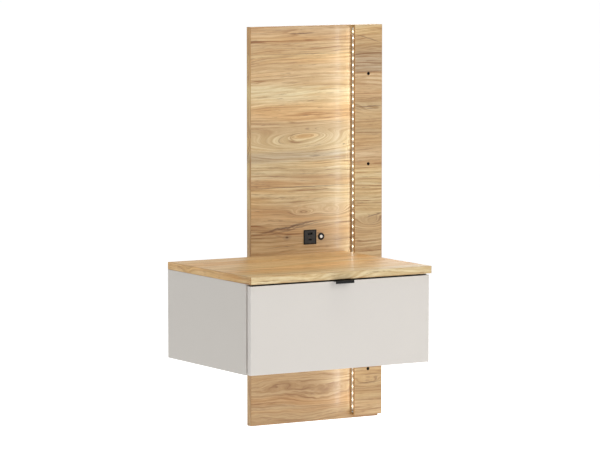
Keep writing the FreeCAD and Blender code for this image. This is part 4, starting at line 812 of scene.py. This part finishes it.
finishes = {
    # name: kind, tone, gloss, fineness or stretch, bump, metallic
    "blackMetal": ("skin", linear(17, 17, 18), 0.34, 3200.0, (0.18, 0.00006), 0.0),
    "blackPlastic": ("skin", linear(10, 10, 11), 0.44, 2600.0, (0.20, 0.00005), 0.0),
    "greyPlastic": ("skin", linear(40, 40, 39), 0.46, 2600.0, (0.20, 0.00005), 0.0),
    "whitePlastic": ("skin", linear(248, 248, 244), 0.22, 2200.0, (0.06, 0.00004), 0.0),
    "leadSheath": ("skin", linear(226, 225, 220), 0.42, 1400.0, (0.12, 0.00005), 0.0),
    "cagePlastic": ("skin", linear(58, 62, 68), 0.38, 2000.0, (0.12, 0.00005), 0.0),
    "clearRubber": ("skin", linear(206, 205, 200), 0.30, 1200.0, (0.08, 0.00005), 0.0),
    "tapeFilm": ("skin", linear(232, 230, 222), 0.36, 1800.0, (0.10, 0.00003), 0.0),
    "chipCase": ("skin", linear(246, 243, 232), 0.30, 2600.0, (0.05, 0.00003), 0.0),
    "beech": ("skin", linear(214, 180, 132), 0.55, 900.0, (0.25, 0.00010), 0.0),
    "zincAlongY": ("metal", linear(196, 199, 203), 0.24, (900, 30, 900), (0.05, 0.00004), 1.0),
    "zincSmall": ("metal", linear(200, 200, 198), 0.26, (700, 700, 90), (0.05, 0.00004), 1.0),
    "aluminium": ("metal", linear(214, 214, 214), 0.28, (900, 900, 25), (0.05, 0.00004), 1.0),
    "ballSteel": ("metal", linear(226, 227, 229), 0.08, (300, 300, 300), (0.01, 0.00002), 1.0),
    "copperPad": ("metal", linear(214, 150, 104), 0.30, (900, 300, 900), (0.03, 0.00003), 1.0),
    "resistor": ("skin", linear(22, 22, 24), 0.30, 3000.0, (0.06, 0.00003), 0.0),
}
matt = {"blackMetal": 0.22, "blackPlastic": 0.22}  # specular levels
lit = {
    # name: colour and strength of its glow
    # painted light: the tape glows as if lit by light spilled from its chips
    "tapeFilm": (linear(255, 226, 190), 0.34),
    "chipCase": (linear(255, 244, 220), 0.35),
}
finishOf = {
    "blackMetal": ["handle", "handle_screws"],
    "blackPlastic": ["usb_bezel", "switch_ring", "switch_body", "power_inlet"],
    "greyPlastic": ["usb_body"],
    "whitePlastic": ["switch_button", "lead_clips"],
    "leadSheath": ["power_lead", "link_lead", "led_lead"],
    "cagePlastic": ["outer_cage_left", "outer_cage_right", "inner_cage_left", "inner_cage_right"],
    "clearRubber": ["bumpers"],
    "tapeFilm": ["led_tape"],
    "chipCase": ["led_chips"],
    "beech": ["carcase_dowels", "drawer_dowels"],
    "zincAlongY": ["runner_cabinet_left", "runner_cabinet_right", "runner_middle_left",
                   "runner_middle_right", "runner_drawer_left", "runner_drawer_right"],
    "zincSmall": ["strip_screws", "carcase_cams", "cam_bolts", "cabinet_bolts", "insert_nuts",
                  "switch_nut", "switch_spring", "cabinet_runner_screws",
                  "drawer_runner_screws"],
    "aluminium": ["led_profile"],
    "ballSteel": ["outer_balls", "inner_balls"],
}


def makeFinish(name):
    kind, tone, gloss, scale, bump, metallic = finishes[name]
    made, tree, shader, coordinates = newMaterial(name)
    group, texture = (skinGroup, "Grain") if kind == "skin" else (brushedGroup, "Stretch")
    values = {"Vector": coordinates, "Tone": tone, "Gloss": gloss, texture: scale}
    specular = matt.get(name, 0.5)
    finishSurface(tree, shader, useGroup(tree, group, values), bump, metallic=metallic,
                  specular=specular)
    if name in lit:
        colour, strength = lit[name]
        shader.inputs["Emission Color"].default_value = colour
        shader.inputs["Emission Strength"].default_value = strength
    return made


surfaces = {name: makeFinish(name) for name in finishes}
for name, members in finishOf.items():
    for member in members:
        dress(member, surfaces[name])


tongue = {
    "pitch": 0.0022,  # metres from one contact to the next
    "share": 0.42,  # of the pitch that is plated
    "bareFront": 0.0012,  # metres of black nylon before the contacts start
    "nylon": linear(16, 16, 17),
    "plate": linear(214, 170, 92),
    "grain": 3000.0,
    "gloss": 0.3,
    "bump": (0.1, 0.00003),
}


def makeTongues():
    made, tree, shader, coordinates = newMaterial("portTongue")
    low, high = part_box("usb_tongues")
    start = ((low.x + high.x) / 2, low.y, 0)
    away = apart(tree, vectors(tree, "SUBTRACT", coordinates, start))
    turn = maths(tree, "FRACT", maths(tree, "DIVIDE", away["X"], tongue["pitch"]))
    plated = maths(tree, "MULTIPLY", maths(tree, "LESS_THAN", turn, tongue["share"]),
                   maths(tree, "GREATER_THAN", away["Y"], tongue["bareFront"]))
    tone = mixed(tree, plated, tongue["nylon"], tongue["plate"])
    look = useGroup(tree, skinGroup, {"Vector": coordinates, "Tone": tone,
                                      "Grain": tongue["grain"], "Gloss": tongue["gloss"]})
    finishSurface(tree, shader, look, tongue["bump"])
    feed(tree, plated, shader.inputs["Metallic"])
    dress("usb_tongues", made)


makeTongues()
print("small parts finished:", sum(len(members) for members in finishOf.values()))


glow = {
    # metres and watts
    "dotRadius": 0.0016,
    "dotSides": 16,
    "dotProud": 0.00025,
    "dotTaper": 0.8,
    "phosphor": (linear(255, 236, 180), linear(255, 222, 140)),
    "dotColour": linear(255, 240, 205),
    "dotStrength": 8.0,
    "stripColour": (0.84, 0.96, 1.0),
    "stripWatts": 0.075,
    "stripWidth": 0.005,
    "stripClear": 0.0006,  # in front of the strip board's edge
    "haloOut": 0.062,  # in front of the panel's face
    "haloWatts": {"haloHigh": 0.072, "haloLow": 0.122},  # for each metre of its length
    "haloSpread": 100,  # degrees
    "haloWay": (-0.62, 0.78, 0),
    "haloColour": (0.84, 0.96, 1.08),
}


def newPiece(name, mesh, body, material, smooth=True):
    data = bpy.data.meshes.new(name)
    mesh.to_mesh(data)
    mesh.free()
    for polygon in data.polygons:
        polygon.use_smooth = smooth
    made = bpy.data.objects.new(name, data)
    scene.collection.objects.link(made)
    data.materials.append(material)
    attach(made, body)
    return made


def meshOf(name):
    # a merged copy of a CAD node's mesh
    mesh = bmesh.new()
    mesh.from_mesh(nodes[name].data)
    bmesh.ops.remove_doubles(mesh, verts=mesh.verts, dist=1e-6)
    return mesh


def chipCentres():
    # the middle of each chip's front face, found from the chips' own solids
    mesh = meshOf("led_chips")
    heights = sorted({round(vert.co.z, 5) for vert in mesh.verts})
    low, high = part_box("led_chips")
    mesh.free()
    pairs = list(zip(heights[::2], heights[1::2]))
    return [Vector((low.x, (low.y + high.y) / 2, (bottom + top) / 2)) for bottom, top in pairs]


def makeGlowDots():
    made, tree, shader, coordinates = newMaterial("phosphor")
    cloud = noise(tree, coordinates, (900, 900, 900))
    feed(tree, mixed(tree, cloud, *glow["phosphor"]), shader.inputs["Base Color"])
    feed(tree, spread(tree, cloud, 0.3, 0.7, 0.25, 0.4), shader.inputs["Roughness"])
    shader.inputs["Emission Color"].default_value = glow["dotColour"]
    shader.inputs["Emission Strength"].default_value = glow["dotStrength"]
    mesh = bmesh.new()
    for centre in chipCentres():
        dome = bmesh.ops.create_circle(mesh, cap_ends=True, segments=glow["dotSides"],
                                       radius=glow["dotRadius"])["verts"]
        faces = list({face for vert in dome for face in vert.link_faces})
        grown = bmesh.ops.extrude_face_region(mesh, geom=faces)["geom"]
        top = [item for item in grown if isinstance(item, bmesh.types.BMVert)]
        bmesh.ops.translate(mesh, verts=top, vec=(0, 0, glow["dotProud"]))
        bmesh.ops.scale(mesh, verts=top, vec=(glow["dotTaper"], glow["dotTaper"], 1))
        bmesh.ops.rotate(mesh, verts=dome + top, matrix=Matrix.Rotation(-math.pi / 2, 3, "Y"))
        bmesh.ops.translate(mesh, verts=dome + top, vec=centre)
    bmesh.ops.recalc_face_normals(mesh, faces=mesh.faces)
    dots = newPiece("glowDots", mesh, "cabinet", made, smooth=False)


def makeStripLight():
    low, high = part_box("led_tape")
    middle = (low + high) / 2
    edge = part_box("strip_board")[0].x
    place = Vector((edge - glow["stripClear"], middle.y, middle.z))
    lamp = areaLight("stripLight", place, place - Vector((1, 0, 0)), high.z - low.z,
                     glow["stripWidth"], glow["stripWatts"], glow["stripColour"])
    lamp.rotation_euler = (0, math.radians(90), 0)  # its length stands upright
    lamp.visible_camera = False
    # the haze of light that the strip throws across the panel, above and below the cabinet
    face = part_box("main_panel")[0].y
    above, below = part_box("top_board")[1].z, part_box("side_right")[0].z
    for name, bottom, top in (("haloHigh", above, high.z), ("haloLow", low.z, below)):
        long = top - bottom
        place = Vector((edge, face - glow["haloOut"], (bottom + top) / 2))
        halo = areaLight(name, place, place + Vector(glow["haloWay"]), glow["stripWidth"],
                         long, glow["haloWatts"][name] * long, glow["haloColour"])
        halo.data.spread = math.radians(glow["haloSpread"])
        halo.visible_camera = False


tapeParts = {
    "padSize": (0.00012, 0.0014, 0.0020),  # proud, wide and tall, in metres
    "padSpread": 0.0018,
    "padRise": 0.0014,
    "chipSize": (0.0005, 0.0012, 0.0021),
    "bevel": 0.00008,
}


def softBlock(mesh, centre, size, bevel):
    made = bmesh.ops.create_cube(mesh, size=1.0)["verts"]
    bmesh.ops.scale(mesh, verts=made, vec=size)
    bmesh.ops.translate(mesh, verts=made, vec=centre)
    edges = list({edge for vert in made for edge in vert.link_edges})
    bmesh.ops.bevel(mesh, geom=edges, offset=min(bevel, min(size) * 0.4), affect="EDGES",
                    segments=1, profile=0.5, material=-1)


def makeTapeParts():
    low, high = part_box("led_tape")
    middle = (low.y + high.y) / 2
    pad, chip = tapeParts["padSize"], tapeParts["chipSize"]
    centres = chipCentres()
    pads, resistors = bmesh.new(), bmesh.new()
    for below, above in zip(centres, centres[1:]):
        gap = (below.z + above.z) / 2
        for sideways in (-tapeParts["padSpread"], tapeParts["padSpread"]):
            for rise in (-tapeParts["padRise"], tapeParts["padRise"]):
                place = (low.x - pad[0] / 2, middle + sideways, gap + rise)
                softBlock(pads, place, pad, tapeParts["bevel"] / 2)
        softBlock(resistors, (low.x - chip[0] / 2, middle, gap), chip, tapeParts["bevel"])
    for name, mesh, finish, slot in (("solderPads", pads, "copperPad", "contact_brass"),
                                     ("tapeResistors", resistors, "resistor", "black_plastic")):
        bmesh.ops.recalc_face_normals(mesh, faces=mesh.faces)
        newPiece(name, mesh, "cabinet", surfaces[finish], smooth=False)


makeGlowDots()
makeTapeParts()
makeStripLight()
print("light strip finished")


def makeSpring():
    # the switch's spring, copied into a piece with a mesh of its own in place of the CAD part; the
    # real spring shortens as the button is pressed
    mesh = meshOf("switch_spring")
    bmesh.ops.recalc_face_normals(mesh, faces=mesh.faces)
    spring = newPiece("pressSpring", mesh, "cabinet", surfaces["zincSmall"])
    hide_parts("switch_spring")
    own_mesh(spring)


makeSpring()
print("switch spring finished")


def makeFloor():
    made, tree, shader, coordinates = newMaterial("floorPaint")
    cloud = noise(tree, coordinates, (0.6, 0.6, 0.6))
    tone = mixed(tree, cloud, studio["floorColour"], studio["floorShade"])
    feed(tree, tone, shader.inputs["Base Color"])
    shader.inputs["Roughness"].default_value = studio["floorRoughness"]
    shader.inputs["Emission Color"].default_value = (1, 1, 1, 1)
    shader.inputs["Emission Strength"].default_value = studio["floorGlow"]
    # clear from underneath, so that the object's underside can be seen
    clear = node(tree, "ShaderNodeBsdfTransparent").outputs[0]
    under = node(tree, "ShaderNodeNewGeometry").outputs["Backfacing"]
    sides = node(tree, "ShaderNodeMixShader", {0: under, 1: shader.outputs[0], 2: clear})
    feed(tree, sides.outputs[0], tree.nodes["Material Output"].inputs["Surface"])
    mesh = bmesh.new()
    bmesh.ops.create_grid(mesh, x_segments=1, y_segments=1, size=studio["floorHalf"])
    bmesh.ops.translate(mesh, verts=mesh.verts, vec=(0, 0, studio["floorHeight"]))
    data = bpy.data.meshes.new("floor")
    mesh.to_mesh(data)
    mesh.free()
    data.materials.append(made)
    floor = bpy.data.objects.new("floor", data)
    scene.collection.objects.link(floor)


makeFloor()
